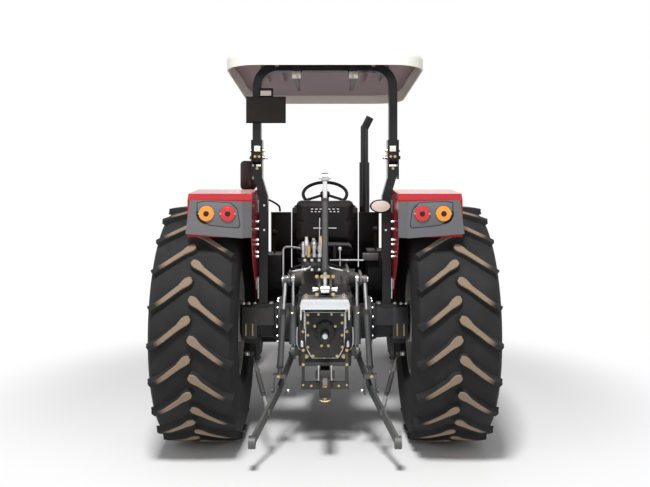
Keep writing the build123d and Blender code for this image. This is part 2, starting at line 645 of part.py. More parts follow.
# ---- power take-off, drawbar and couplers -------------------------------------------
def pto_shaft():
    shaft = rod((0, REAR_FACE_Y - PTO_SHOULDER, PTO_Z), (0, PTO_END_Y, PTO_Z), PTO_SHAFT_R)
    return shaft + rod((0, REAR_FACE_Y + PTO_INSIDE - 2, PTO_Z), (0, REAR_FACE_Y - PTO_SHOULDER, PTO_Z), PTO_JOURNAL_R)


def pto_guard():
    """Bent sheet guard over the shaft: a top with two cheeks, on the rear face."""
    outer = face_plate([
        (-165, 1050), (-150, 1078), (150, 1078), (165, 1050), (165, 940), (157, 940), (157, 1046), (146, 1066),
        (-146, 1066), (-157, 1046), (-157, 940), (-165, 940),
    ], -520, REAR_FACE_Y - SEAT_CLEARANCE)
    return outer


def drawbar():
    """Drawbar with its two hangers and the cross bar that carries its end."""
    bar = block(-35, 35, -640, 420, 478, 508)
    bar -= rod((0, -600, 470), (0, -600, 515), DRAWBAR_PIN_R)
    rear = REAR_FACE_Y - SEAT_CLEARANCE
    frame = block(-165, 165, rear - 40, rear, 430, 479)
    for side in (-1, 1):
        hanger_x = sorted((side * 140, side * 162))
        frame += block(*hanger_x, rear - 34, rear, 450, HOUSING_LOW_Z + 170)
    frame += block(-60, 60, 380, 440, 500, HOUSING_LOW_Z - SEAT_CLEARANCE)
    return bar + frame


DRAWBAR_PIN_R = 16.5


# ---- driver's place -----------------------------------------------------------------
def platform():
    """Footplate with its front wall, side steps and their hangers."""
    z0, z1 = FLOOR_Z - FLOOR_T, FLOOR_Z
    shape = block(-FLOOR_HALF_W, FLOOR_HALF_W, 905, FLOOR_FRONT_Y, z0, z1)
    half = FENDER_IN_X - SEAT_CLEARANCE
    shape += block(-half, half, 525, 906, z0, z1)
    shape -= block(-235, 235, 960, FLOOR_FRONT_Y + 1, z0 - 1, z1 + 1)
    # raised tunnel over the gearbox with the seat's shelf
    shelf = HOUSING_TOP_Z + SEAT_CLEARANCE
    shape += side_plate([
        (361, shelf), (361, SHELF_TOP_Z), (445, SHELF_TOP_Z), (532, 1008), (532, z1 - 1), (526, z1 - 1),
        (526, 1004), (441, shelf),
    ], -half, half)
    for side in (-1, 1):
        for y0 in (1000, 1270):
            hanger_x = sorted((side * 560, side * 590))
            shape += block(*hanger_x, y0, y0 + 8, STEP_Z, z1)
            outer_x = sorted((side * 590, side * 720))
            shape += block(*outer_x, y0, y0 + 8, STEP_Z, STEP_Z + 60)
        tread_x = sorted((side * 585, side * 720))
        shape += block(*tread_x, 1000, 1278, STEP_Z, STEP_Z + 8)
        shape += block(*sorted((side * 555, side * 592)), 1000, 1278, z0 - 30, z1)
    return shape


STEP_Z = 480.0
SHELF_TOP_Z = HOUSING_TOP_Z + SEAT_CLEARANCE + FLOOR_T


def fender(side):
    """Rear fender: a folded sheet shell over the tyre, with its full inner wall."""
    outline = [
        (FENDER_REAR_Y, 1500), (FENDER_REAR_Y, 1745), (-560, FENDER_TOP_Z), (-150, FENDER_TOP_Z + 25),
        (350, FENDER_TOP_Z + 10), (640, 1700), (850, 1480), (960, 1200), (1000, FLOOR_Z + 4),
    ]
    x0, x1 = side * FENDER_IN_X, side * FENDER_OUT_X
    band = outline + [(996, FLOOR_Z + 4)] + [
        (956, 1199), (847, 1477), (638, 1695.5), (349.5, FENDER_TOP_Z + 6), (-150, FENDER_TOP_Z + 21),
        (-557, FENDER_TOP_Z - 4), (FENDER_REAR_Y + FENDER_T, 1742), (FENDER_REAR_Y + FENDER_T, 1500),
    ]
    top = side_plate(band, *sorted((x0, x1)))
    notch = block(*sorted((x0 - side, side * (HOOP_HALF_W + 6))), POST_Y - POST_DEPTH / 2 - 8, POST_Y + POST_DEPTH / 2 + 8,
                  KINK_Z - 30, FENDER_TOP_Z + 60)
    wall = side_plate(outline + [(530, FLOOR_Z + 4), (380, 1105), (-250, 1105), (-480, 1300)],
                      *sorted((x0, x0 + side * FENDER_T)))
    return top + wall - notch


def lamp_housing(side):
    """Grey moulded housing on the fender's end, with two round recesses."""
    x_out, x_in = FENDER_OUT_X + 4, 536.0
    body = face_plate([
        (side * 879, 1744), (side * 538, 1734), (side * x_in, 1495), (side * x_out, 1524),
    ], LAMP_FACE_Y, FENDER_REAR_Y - SEAT_CLEARANCE)
    cheek = plan_plate([
        (side * x_in, LAMP_FACE_Y), (side * (FENDER_IN_X - 2), -560), (side * (FENDER_IN_X - 2), FENDER_REAR_Y - SEAT_CLEARANCE + 1),
        (side * x_in, FENDER_REAR_Y - SEAT_CLEARANCE),
    ], 1495, 1734)
    cheek = plan_plate([
        (side * (x_in + 1), LAMP_FACE_Y), (side * FENDER_IN_X, FENDER_REAR_Y - SEAT_CLEARANCE - 4),
        (side * FENDER_IN_X, FENDER_REAR_Y - SEAT_CLEARANCE), (side * (x_in + 1), FENDER_REAR_Y - SEAT_CLEARANCE),
    ], 1497, 1733)
    shape = body + cheek
    for x in LAMP_XS:
        shape -= rod((side * x, LAMP_FACE_Y - 1, LAMP_Z), (side * x, LAMP_FACE_Y + LAMP_RECESS, LAMP_Z), LAMP_R + 9)
    return shape


LAMP_FACE_Y = -650.0
LAMP_XS = (632.0, 772.0)      # red inboard, amber outboard
LAMP_Z = 1656.0
LAMP_R = 58.0
LAMP_RECESS = 24.0


def round_lamps(x):
    """A pair of round lamps, one each side."""
    solids = []
    for side in (-1, 1):
        back = LAMP_FACE_Y + LAMP_RECESS - SEAT_CLEARANCE
        lens = rod((side * x, back, LAMP_Z), (side * x, LAMP_FACE_Y + 4, LAMP_Z), LAMP_R)
        lens += rod((side * x, LAMP_FACE_Y + 5, LAMP_Z), (side * x, LAMP_FACE_Y - 12, LAMP_Z), LAMP_R, LAMP_R * 0.7)
        solids.append(lens)
    return solids


SEAT_Y = 360.0
SEAT_HALF_W = 232.0


def seat_base():
    """Suspension box and the seat's pan."""
    shape = block(-150, 150, 150, 500, SEAT_SHELF_Z + SEAT_CLEARANCE, 1270)
    shape += block(-200, 200, 130, 560, 1262, 1290)
    for side in (-1, 1):
        shape += block(*sorted((side * 60, side * 84)), 100, 136, 1262, 1391.7)
    return shape


def seat_cushion():
    return block(-SEAT_HALF_W, SEAT_HALF_W, 140, 600, 1290.3, 1385)


def seat_backrest():
    return side_plate([(100, 1392), (60, 1730), (130, 1745), (190, 1396)], -SEAT_HALF_W, SEAT_HALF_W)


def dash_cowl():
    """Cowl between the platform and the bonnet, with the steering column."""
    shape = side_plate([
        (1030, FLOOR_Z + SEAT_CLEARANCE), (1000, 1450), (1040, COWL_TOP_Z - 40), (1110, COWL_TOP_Z),
        (1270, COWL_TOP_Z), (1270, FLOOR_Z + SEAT_CLEARANCE),
    ], -COWL_HALF_W, COWL_HALF_W)
    shape -= block(-COWL_HALF_W + 6, COWL_HALF_W - 6, 1038, 1262, FLOOR_Z - 1, COWL_TOP_Z - 50)
    shape -= block(-COWL_HALF_W + 6, COWL_HALF_W - 6, 1200, 1271, FLOOR_Z - 1, 1110)
    shape -= block(-235, 235, 980, 1040, FLOOR_Z - 1, 935)
    for side in (-1, 1):
        ear_x = sorted((side * 120, side * 130))
        ear = block(*ear_x, 1255, HINGE_Y - 6, COWL_TOP_Z - 10, HINGE_Z + 9)
        ear += block(*ear_x, 1255, HINGE_Y, HINGE_Z - 8, HINGE_Z + 9)
        ear += rod((ear_x[0], HINGE_Y, HINGE_Z), (ear_x[1], HINGE_Y, HINGE_Z), 9)
        ear += rod((side * 125, HINGE_Y, HINGE_Z), (side * 88, HINGE_Y, HINGE_Z), HINGE_PIN_R)
        shape += ear
    shape += rod(COLUMN_FOOT, COLUMN_HEAD, 32)
    shape -= rod(column_point(70), column_point(0), COLUMN_SHAFT_R + RUN_CLEARANCE)
    return shape


COLUMN_SHAFT_R = 14.0


def column_point(below):
    """A point on the steering column's axis, so far below the wheel's hub."""
    tilt = radians(WHEEL_TILT)
    return (0, WHEEL_Y + (below + 25) * sin(tilt), WHEEL_Z - (below + 25) * cos(tilt))


COLUMN_HEAD = column_point(0)
COLUMN_FOOT = column_point(190)


def steering_wheel():
    """Rim, three spokes and a hub with its shaft down into the column."""
    plane = Pos(0, WHEEL_Y, WHEEL_Z) * Rot(WHEEL_TILT, 0, 0)
    wheel = Torus(WHEEL_R - 14, 14)
    hub = Pos(0, 0, -8) * Cylinder(42, 30)
    for angle in (90, 210, 330):
        hub += Rot(0, 0, angle) * Pos((WHEEL_R - 14) / 2, 0, -4) * Box(WHEEL_R - 14, 26, 9)
    shaft = Pos(0, 0, -50) * Cylinder(COLUMN_SHAFT_R, 80)
    return plane * (wheel + hub + shaft)


SIDE_FRAME_Y = 1225.0


def side_frame(side):
    """Tube frame with a pane beside the cowl, a hand hold for the driver."""
    x0, x1 = side * 300, side * 480
    y = SIDE_FRAME_Y
    z_low, z_high = FLOOR_Z + SEAT_CLEARANCE, 1600.0 - SEAT_CLEARANCE
    shape = block(*sorted((x0, x0 + side * 26)), y - 13, y + 13, z_low, z_high)
    shape += block(*sorted((x1, x1 - side * 22)), y - 11, y + 11, z_low, z_high)
    shape += block(*sorted((x0, x1)), y - 26, y + 26, z_high - 12, z_high)
    shape += block(*sorted((x0, x1)), y - 3, y + 3, z_low, z_high - 10)
    return shape


def fuel_tank():
    return block(-520, -240, 640, 990, 560, FLOOR_Z - FLOOR_T - SEAT_CLEARANCE)


def levers():
    """Two lever consoles beside the seat, with their levers."""
    shape = block(330, 460, 300, 620, SHELF_TOP_Z + SEAT_CLEARANCE, 1330)
    for y in (380, 470, 560):
        shape += rod((400, y, 1320), (400, y - 15, 1480), 6)
        shape += Pos(400, y - 15, 1490) * Sphere(20)
    left = block(-460, -340, 300, 620, SHELF_TOP_Z + SEAT_CLEARANCE, 1300)
    left += rod((-400, 450, 1290), (-400, 440, 1450), 7)
    left += Pos(-400, 440, 1465) * Sphere(22)
    return [shape, left]


def hydraulics():
    """Remote valve block with two pairs of couplers above the lift cover."""
    low = ROCKSHAFT_Z + 60 + SEAT_CLEARANCE
    shape = block(-150, 20, -330, -205, low, 1350)
    for x in (-120, -80, -40):
        shape += rod((x, -330, 1300), (x, -380, 1300), 17)
    return shape


# ---- roll bar and canopy ------------------------------------------------------------
def rops_post(side):
    """Fixed lower post: foot plate, upright, the kink outwards and the fold's clevis."""
    x_in, x_out = POST_IN_X, POST_IN_X + POST_W
    y0, y1 = POST_Y - POST_DEPTH / 2, POST_Y + POST_DEPTH / 2
    step = HOOP_HALF_W - x_out
    profile = [
        (x_in, POST_FOOT_Z + 20), (x_out, POST_FOOT_Z + 20), (x_out, KINK_Z), (x_out + step, CLEVIS_Z - 50),
        (x_out + step, CLEVIS_Z), (x_in + step, CLEVIS_Z), (x_in + step, CLEVIS_Z - 50), (x_in, KINK_Z),
    ]
    shape = face_plate([(side * x, z) for x, z in profile], y0, y1)
    foot_x = sorted((side * (x_in - 45), side * (x_out + 45)))
    shape += block(*foot_x, POST_Y - 75, POST_Y + 75, POST_FOOT_Z + SEAT_CLEARANCE, POST_FOOT_Z + 22)
    # two cheeks that hold the hoop's end between them
    for x in (x_in + step - PLATE_T, x_out + step):
        cheek_x = sorted((side * x, side * (x + PLATE_T)))
        cheek = block(*cheek_x, y0 - 14, y1 + 14, CLEVIS_Z - 90, FOLD_Z + 125)
        shape += cheek
    bore = rod((side * (x_in - 40 + step), POST_Y, FOLD_Z), (side * (x_out + 40 + step), POST_Y, FOLD_Z),
               FOLD_PIN_R + RUN_CLEARANCE)
    return shape - bore


KINK_Z = 1764.0
CLEVIS_Z = 1975.0
FOLD_PIN_R = 13.0
PLATE_T = 9.0
HOOP_SIDE_GAP = 1.0


def rops_hoop():
    """Upper hoop of square tube with its fold pins, and rails that carry the canopy."""
    width = POST_W - 2 * HOOP_SIDE_GAP
    out, mid = HOOP_HALF_W - HOOP_SIDE_GAP, HOOP_HALF_W - POST_W / 2
    low = FOLD_Z - POST_DEPTH / 2
    outer = face_plate([(-out, low), (-out, HOOP_TOP_Z), (out, HOOP_TOP_Z), (out, low)],
                       POST_Y - POST_DEPTH / 2, POST_Y + POST_DEPTH / 2)
    inner = face_plate([(-out + width, low - 5), (-out + width, HOOP_TOP_Z - width),
                        (out - width, HOOP_TOP_Z - width), (out - width, low - 5)],
                       POST_Y - POST_DEPTH / 2 - 5, POST_Y + POST_DEPTH / 2 + 5)
    corner = [e for e in outer.edges().filter_by(Axis.Y) if e.center().Z > HOOP_TOP_Z - 1]
    outer = fillet(corner, HOOP_BEND_R)
    corner = [e for e in inner.edges().filter_by(Axis.Y) if e.center().Z > HOOP_TOP_Z - width - 1]
    inner = fillet(corner, HOOP_BEND_R - width)
    shape = outer - inner
    # the hoop's ends are rounded about the fold pins, and their corners clear the posts
    for side in (-1, 1):
        x0, x1 = sorted((side * (out - width), side * out))
        x0, x1 = x0 - 1, x1 + 1
        cut = block(x0, x1, POST_Y - 60, POST_Y + 60, low - 10, FOLD_Z)
        cut -= rod((x0 - 5, POST_Y, FOLD_Z), (x1 + 5, POST_Y, FOLD_Z), POST_DEPTH / 2)
        shape -= cut
        pin_x = side * mid
        shape += rod((pin_x - POST_W / 2 - 24, POST_Y, FOLD_Z), (pin_x + POST_W / 2 + 24, POST_Y, FOLD_Z), FOLD_PIN_R)
    # rails under the canopy
    for side in (-1, 1):
        rail_x = sorted((side * 215, side * 245))
        under = CANOPY_TOP_Z - CANOPY_T - SEAT_CLEARANCE
        flat_rear, flat_front = CANOPY_REAR_Y + 300, CANOPY_REAR_Y + 900
        slope = VISOR_DROP / (CANOPY_FRONT_Y + 20 - flat_front)
        nose = CANOPY_FRONT_Y - 200
        shape += side_plate([
            (flat_rear - 120, under - 34), (flat_rear - 120, under - 6), (flat_rear, under), (flat_front, under),
            (nose, under - slope * (nose - flat_front) - 2), (nose, under - slope * (nose - flat_front) - 26),
            (flat_front, under - 36),
        ], *rail_x)
    return shape


def canopy_form(inset):
    """The canopy's outer form, or the form of its hollow with the wall as inset."""
    half_w, r = CANOPY_HALF_W - inset, CANOPY_CORNER_R - inset
    y0, y1 = CANOPY_REAR_Y + inset, CANOPY_FRONT_Y - inset
    plan = Plane.XY * Pos(0, (y0 + y1) / 2) * RectangleRounded(2 * half_w, y1 - y0, r)
    column = extrude(Pos(0, 0, CANOPY_TOP_Z - 300) * plan, amount=320)
    top, low = CANOPY_TOP_Z - inset, CANOPY_TOP_Z - CANOPY_DEPTH - (60 if inset else 0)
    side_view = side_plate([
        (y0 - 20, low + 8), (y0 - 20, top - 8), (y0 + 300, top), (y0 + 900, top), (y1 + 20, top - VISOR_DROP),
        (y1 + 20, low - VISOR_DROP),
    ], -CANOPY_HALF_W - 20, CANOPY_HALF_W + 20)
    form = column & side_view
    rim = [e for e in form.edges() if e.center().Z > low + 40 and e.bounding_box().size.Z < 100]
    upper = form.faces().filter_by(lambda f: f.normal_at().Z > 0.9)
    edges = [e for e in form.edges() if sum(1 for f in upper if any(e.is_same(g) for g in f.edges())) == 1]
    return fillet(edges, 45 - inset)


def canopy():
    return canopy_form(0) - canopy_form(CANOPY_T)


def number_plate():
    """Blank plate on the left of the hoop, with its small lamp above."""
    back = POST_Y - POST_DEPTH / 2 - SEAT_CLEARANCE
    shape = block(-563, -280, back - 12, back, 2284, 2473)
    shape += block(-470, -370, back - 40, back, 2473, 2530)
    return shape


# ---- bonnet -------------------------------------------------------------------------
# y, half width, top and top corner radius of the bonnet's sections, rear to nose
BONNET_SECTIONS = (
    (BONNET_REAR_Y, BONNET_HALF_W, BONNET_TOP_Z, 60.0),
    (BONNET_REAR_Y + 800, BONNET_HALF_W, BONNET_TOP_Z - 45, 60.0),
    (BONNET_NOSE_Y - 400, BONNET_HALF_W - 12, BONNET_TOP_Z - 125, 70.0),
    (BONNET_NOSE_Y - 110, BONNET_HALF_W - 26, BONNET_NOSE_Z, 80.0),
    (BONNET_NOSE_Y, BONNET_HALF_W - 44, BONNET_NOSE_Z - 130, 80.0),
)


def bonnet_section(y, half_w, top_z, radius, low_z):
    """One upright section of the bonnet, with rounded top corners."""
    plane = Plane(origin=(0, y, 0), x_dir=(1, 0, 0), z_dir=(0, -1, 0))
    flat = make_face(Polyline((-half_w, low_z), (-half_w, top_z), (half_w, top_z), (half_w, low_z), close=True))
    corners = [v for v in flat.vertices() if v.Y > top_z - 1]
    return plane * fillet(corners, radius)


def bonnet_form(inset):
    """The bonnet's outer form, or the form of its hollow with the wall as inset."""
    sections = []
    last = len(BONNET_SECTIONS) - 1
    for i, (y, half_w, top_z, radius) in enumerate(BONNET_SECTIONS):
        low_z = BONNET_LOW_Z - (20 if inset else 0)
        start = y - (5 if inset and i == 0 else 0) - (inset if i == last else 0)
        sections.append(bonnet_section(start, half_w - inset, top_z - inset, radius - inset, low_z))
    return loft(sections, ruled=True)


def bonnet():
    # open below and towards the cowl; the nose takes the grille
    shell = bonnet_form(0) - bonnet_form(BONNET_T)
    for side in (-1, 1):
        lug_x = sorted((side * 90, side * 119.5))
        shell += block(*lug_x, HINGE_Y, HINGE_Y + 10, BONNET_TOP_Z - 3, HINGE_Z)
        shell += rod((lug_x[0], HINGE_Y, HINGE_Z), (lug_x[1], HINGE_Y, HINGE_Z), 9)
        shell -= rod((lug_x[0] - 1, HINGE_Y, HINGE_Z), (lug_x[1] + 1, HINGE_Y, HINGE_Z), HINGE_PIN_R + RUN_CLEARANCE)
    shell -= block(-GRILLE_HALF_W, GRILLE_HALF_W, BONNET_NOSE_Y - 40, BONNET_NOSE_Y + 1, GRILLE_LOW_Z, GRILLE_TOP_Z)
    return shell


GRILLE_HALF_W = 215.0
GRILLE_LOW_Z = 1090.0
GRILLE_TOP_Z = 1330.0


def grille():
    y0, y1 = BONNET_NOSE_Y - 12, BONNET_NOSE_Y - 2
    gap = SEAT_CLEARANCE
    outer = block(-GRILLE_HALF_W + gap, GRILLE_HALF_W - gap, y0, y1, GRILLE_LOW_Z + gap, GRILLE_TOP_Z - gap)
    return outer


ELBOW_Z = 1005.0


def exhaust():
    """Elbow from the manifold, guarded silencer and the tail pipe with its bent tip."""
    shape = rod((STACK_X, STACK_Y, ELBOW_Z), (STACK_X, STACK_Y, 1260), 38)
    shape += Pos(STACK_X, STACK_Y, ELBOW_Z) * Sphere(38)
    shape += rod((STACK_X, STACK_Y, 1250), (STACK_X, STACK_Y, 2060), 50)
    shape += rod((190 + SEAT_CLEARANCE, STACK_Y, ELBOW_Z), (STACK_X, STACK_Y, ELBOW_Z), 38)
    shape += rod((STACK_X, STACK_Y, 2050), (STACK_X, STACK_Y, 2400), 38)
    tip = (STACK_X + 55, STACK_Y, STACK_TOP_Z - 20)
    shape += rod((STACK_X, STACK_Y, 2390), tip, 38) + Pos(STACK_X, STACK_Y, 2398) * Sphere(38)
    return shape


def mirror_arm():
    y = SIDE_FRAME_Y
    shape = block(-752, -612, y - 30, y + 30, 1796, 2056)
    knees = [(-401, 1600), (-401, 1644), (-490, 1706), (-682, 1776), (-682, 1800)]
    for (xa, za), (xb, zb) in zip(knees, knees[1:]):
        shape += rod((xa, y, za), (xb, y, zb), 9) + Pos(xb, y, zb) * Sphere(9)
    return shape


def work_lamp():
    back = POST_Y - POST_DEPTH / 2 - SEAT_CLEARANCE
    return block(322, 475, back - 60, back, 1640, 1740)


# ---- write the nodes ----------------------------------------------------------------
os.makedirs("parts", exist_ok=True)

SIDES = (("left", -1), ("right", 1))
housing = gearbox()
for lug in ram_brackets() + link_pins():
    housing += lug

save("gearbox", housing)
save("engine", engine())
save("radiator", radiator())
save("front_support", front_support())
save("front_axle", front_axle())
save("steering_rod", steering_rod())
save("lift_housing", lift_housing())
save("lift_arms", lift_arms())
save("lift_rods", *lift_rods())
save("ram_barrels", *ram_barrels())
save("ram_rods", *ram_rods())
save("top_link", top_link())
save("pto_shaft", pto_shaft())
save("pto_guard", pto_guard())
save("drawbar", drawbar())
save("hydraulics", hydraulics())
save("platform", platform())
save("fuel_tank", fuel_tank())
save("seat_base", seat_base())
save("seat_cushion", seat_cushion())
save("seat_backrest", seat_backrest())
save("dash_cowl", dash_cowl())
save("steering_wheel", steering_wheel())
save("levers", *levers())
save("amber_lamps", *round_lamps(LAMP_XS[1]))
save("red_lamps", *round_lamps(LAMP_XS[0]))
save("rops_hoop", rops_hoop())
save("canopy", canopy())
save("number_plate", number_plate())
save("bonnet", bonnet())
save("grille", grille())
save("headlamps", *headlamps())
save("exhaust", exhaust())
save("mirror", mirror_arm())
save("work_lamp", work_lamp())
for name, side in SIDES:
    rear_rubber, rear_steel = rear_wheel(side)
    front_rubber, front_steel = front_wheel(side)
    save(f"rear_tyre_{name}", rear_rubber)
    save(f"rear_rim_{name}", rear_steel)
    save(f"front_tyre_{name}", front_rubber)
    save(f"front_rim_{name}", front_steel)
    save(f"knuckle_{name}", knuckle(side))
    save(f"lower_link_{name}", lower_link(side))
    save(f"fender_{name}", fender(side))
    save(f"lamp_housing_{name}", lamp_housing(side))
    save(f"rops_post_{name}", rops_post(side))
    save(f"side_frame_{name}", side_frame(side))
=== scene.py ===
"""Looks for the farm tractor: finishes, seat covers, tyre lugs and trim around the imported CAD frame."""

import json
import math

import bmesh
import bpy
from mathutils import Matrix, Vector


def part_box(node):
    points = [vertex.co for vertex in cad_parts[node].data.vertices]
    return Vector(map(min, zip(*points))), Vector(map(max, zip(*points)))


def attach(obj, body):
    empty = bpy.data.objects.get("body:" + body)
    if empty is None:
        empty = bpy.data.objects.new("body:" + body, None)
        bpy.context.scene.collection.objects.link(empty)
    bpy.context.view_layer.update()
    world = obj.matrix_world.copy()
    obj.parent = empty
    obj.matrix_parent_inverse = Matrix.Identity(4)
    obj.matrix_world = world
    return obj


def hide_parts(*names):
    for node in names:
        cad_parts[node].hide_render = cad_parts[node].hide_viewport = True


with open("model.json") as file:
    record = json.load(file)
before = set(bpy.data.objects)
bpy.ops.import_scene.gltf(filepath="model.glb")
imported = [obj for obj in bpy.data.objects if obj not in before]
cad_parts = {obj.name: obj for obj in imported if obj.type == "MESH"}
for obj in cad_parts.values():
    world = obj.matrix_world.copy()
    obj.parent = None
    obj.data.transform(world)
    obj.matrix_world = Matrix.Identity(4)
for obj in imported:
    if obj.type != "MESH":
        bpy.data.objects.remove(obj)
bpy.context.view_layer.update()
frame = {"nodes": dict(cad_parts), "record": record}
NODES = frame["nodes"]

add_object = bpy.context.scene.collection.objects.link

REAR_AXLE = (-1.2175, 0.845)   # wheel axles as (y, z), and lug radii
FRONT_AXLE = (1.2825, 0.64)
REAR_R = 0.845
FRONT_R = 0.64
REAR_FACE = -1.5175            # back of the rear housing
COVER_FACE = REAR_FACE - 0.013  # outside of the plate on it
PTO_HOUSING_Z = 0.838
SHAFT_Z = 0.820
STABILISER_PIVOT = (0.530, -1.2375, 0.610)
STABILISER_CLEVIS = (0.3813, -1.7355, 0.3305)
LIFT_ROD_TOP = (0.271, -1.6265, 1.200)
LIFT_ROD_PIN = (0.320, -1.5675, 0.425)
ROCKSHAFT = (-1.3675, 1.180)
TOP_LINK_Y = -1.6475
FOLD_Y = -1.3175               # the roll bar's fold pins
CANOPY_HALF = 0.676            # the liner's half width and corner radius in plan
CANOPY_CORNER = 0.228
SIDES = ((-1, "left"), (1, "right"))
BACK, UP = (0, -1, 0), (0, 0, 1)


# ---------------------------------------------------------------- finishes

def socket(group, name, kind, default, low=None, high=None, way="INPUT"):
    made = group.interface.new_socket(name=name, in_out=way, socket_type=kind)
    if default is not None:
        made.default_value = default
    if low is not None:
        made.min_value, made.max_value = low, high
    return made


def worn_group():
    """Slow tone change, dust that lies mostly on upward faces, and a fine grain for roughness and bump."""
    g = bpy.data.node_groups.new("worn_finish", "ShaderNodeTree")
    socket(g, "Base", "NodeSocketColor", (0.5, 0.5, 0.5, 1))
    socket(g, "Dust", "NodeSocketColor", (0.42, 0.36, 0.29, 1))
    socket(g, "Dust amount", "NodeSocketFloat", 0.15, 0, 1)
    socket(g, "Patch scale", "NodeSocketFloat", 3.0, 0.1, 200)
    socket(g, "Grain scale", "NodeSocketFloat", 180.0, 1, 5000)
    socket(g, "Rough low", "NodeSocketFloat", 0.3, 0, 1)
    socket(g, "Rough high", "NodeSocketFloat", 0.45, 0, 1)
    socket(g, "Bump", "NodeSocketFloat", 0.1, 0, 1)
    socket(g, "Color", "NodeSocketColor", None, way="OUTPUT")
    socket(g, "Roughness", "NodeSocketFloat", None, way="OUTPUT")
    socket(g, "Normal", "NodeSocketVector", None, way="OUTPUT")
    new, link = g.nodes.new, g.links.new
    gi, go = new("NodeGroupInput"), new("NodeGroupOutput")
    coord = new("ShaderNodeTexCoord")
    patch, grain = new("ShaderNodeTexNoise"), new("ShaderNodeTexNoise")
    patch.inputs["Detail"].default_value = 5
    grain.inputs["Detail"].default_value = 2
    for noise, scale in ((patch, "Patch scale"), (grain, "Grain scale")):
        link(coord.outputs["Object"], noise.inputs["Vector"])
        link(gi.outputs[scale], noise.inputs["Scale"])
    spread = new("ShaderNodeMapRange")
    spread.inputs["From Min"].default_value = 0.38
    spread.inputs["From Max"].default_value = 0.68
    link(patch.outputs["Fac"], spread.inputs["Value"])
    geometry, split = new("ShaderNodeNewGeometry"), new("ShaderNodeSeparateXYZ")
    link(geometry.outputs["Normal"], split.inputs[0])
    upward = new("ShaderNodeMapRange")
    upward.inputs["From Min"].default_value = 0.1
    upward.inputs["From Max"].default_value = 0.95
    upward.inputs["To Min"].default_value = 0.45
    link(split.outputs["Z"], upward.inputs["Value"])
    lying, amount = new("ShaderNodeMath"), new("ShaderNodeMath")
    lying.operation = amount.operation = "MULTIPLY"
    link(spread.outputs["Result"], lying.inputs[0])
    link(upward.outputs["Result"], lying.inputs[1])
    link(lying.outputs[0], amount.inputs[0])
    link(gi.outputs["Dust amount"], amount.inputs[1])
    mix = new("ShaderNodeMix")
    mix.data_type = "RGBA"
    link(amount.outputs[0], mix.inputs["Factor"])
    link(gi.outputs["Base"], mix.inputs["A"])
    link(gi.outputs["Dust"], mix.inputs["B"])
    tone = new("ShaderNodeHueSaturation")
    value = new("ShaderNodeMapRange")
    value.inputs["To Min"].default_value = 0.93
    value.inputs["To Max"].default_value = 1.06
    link(patch.outputs["Fac"], value.inputs["Value"])
    link(value.outputs["Result"], tone.inputs["Value"])
    link(mix.outputs["Result"], tone.inputs["Color"])
    rough, dusty = new("ShaderNodeMapRange"), new("ShaderNodeMath")
    link(grain.outputs["Fac"], rough.inputs["Value"])
    link(gi.outputs["Rough low"], rough.inputs["To Min"])
    link(gi.outputs["Rough high"], rough.inputs["To Max"])
    dusty.operation = "MULTIPLY_ADD"
    dusty.use_clamp = True
    dusty.inputs[1].default_value = 0.5
    link(amount.outputs[0], dusty.inputs[0])
    link(rough.outputs["Result"], dusty.inputs[2])
    bump = new("ShaderNodeBump")
    bump.inputs["Distance"].default_value = 0.002
    link(gi.outputs["Bump"], bump.inputs["Strength"])
    link(grain.outputs["Fac"], bump.inputs["Height"])
    link(tone.outputs["Color"], go.inputs["Color"])
    link(dusty.outputs[0], go.inputs["Roughness"])
    link(bump.outputs["Normal"], go.inputs["Normal"])
    return g


WORN = worn_group()


def finish(name, base, rough=(0.3, 0.45), dust=0.12, dust_color=(0.42, 0.36, 0.29), patch=3.0, grain=180.0,
           bump=0.08, **constants):
    """A material of the worn finish; constants go straight to the shader's own sockets."""
    m = bpy.data.materials.new(name)
    m.use_nodes = True
    nodes, link = m.node_tree.nodes, m.node_tree.links.new
    shader = nodes["Principled BSDF"]
    g = nodes.new("ShaderNodeGroup")
    g.name = "worn"
    g.node_tree = WORN
    g.inputs["Base"].default_value = (*base, 1)
    g.inputs["Dust"].default_value = (*dust_color, 1)
    for key, number in (("Dust amount", dust), ("Patch scale", patch), ("Grain scale", grain),
                        ("Rough low", rough[0]), ("Rough high", rough[1]), ("Bump", bump)):
        g.inputs[key].default_value = number
    link(g.outputs["Color"], shader.inputs["Base Color"])
    link(g.outputs["Roughness"], shader.inputs["Roughness"])
    link(g.outputs["Normal"], shader.inputs["Normal"])
    for key, number in constants.items():
        shader.inputs[key.replace("_", " ")].default_value = number
    return m


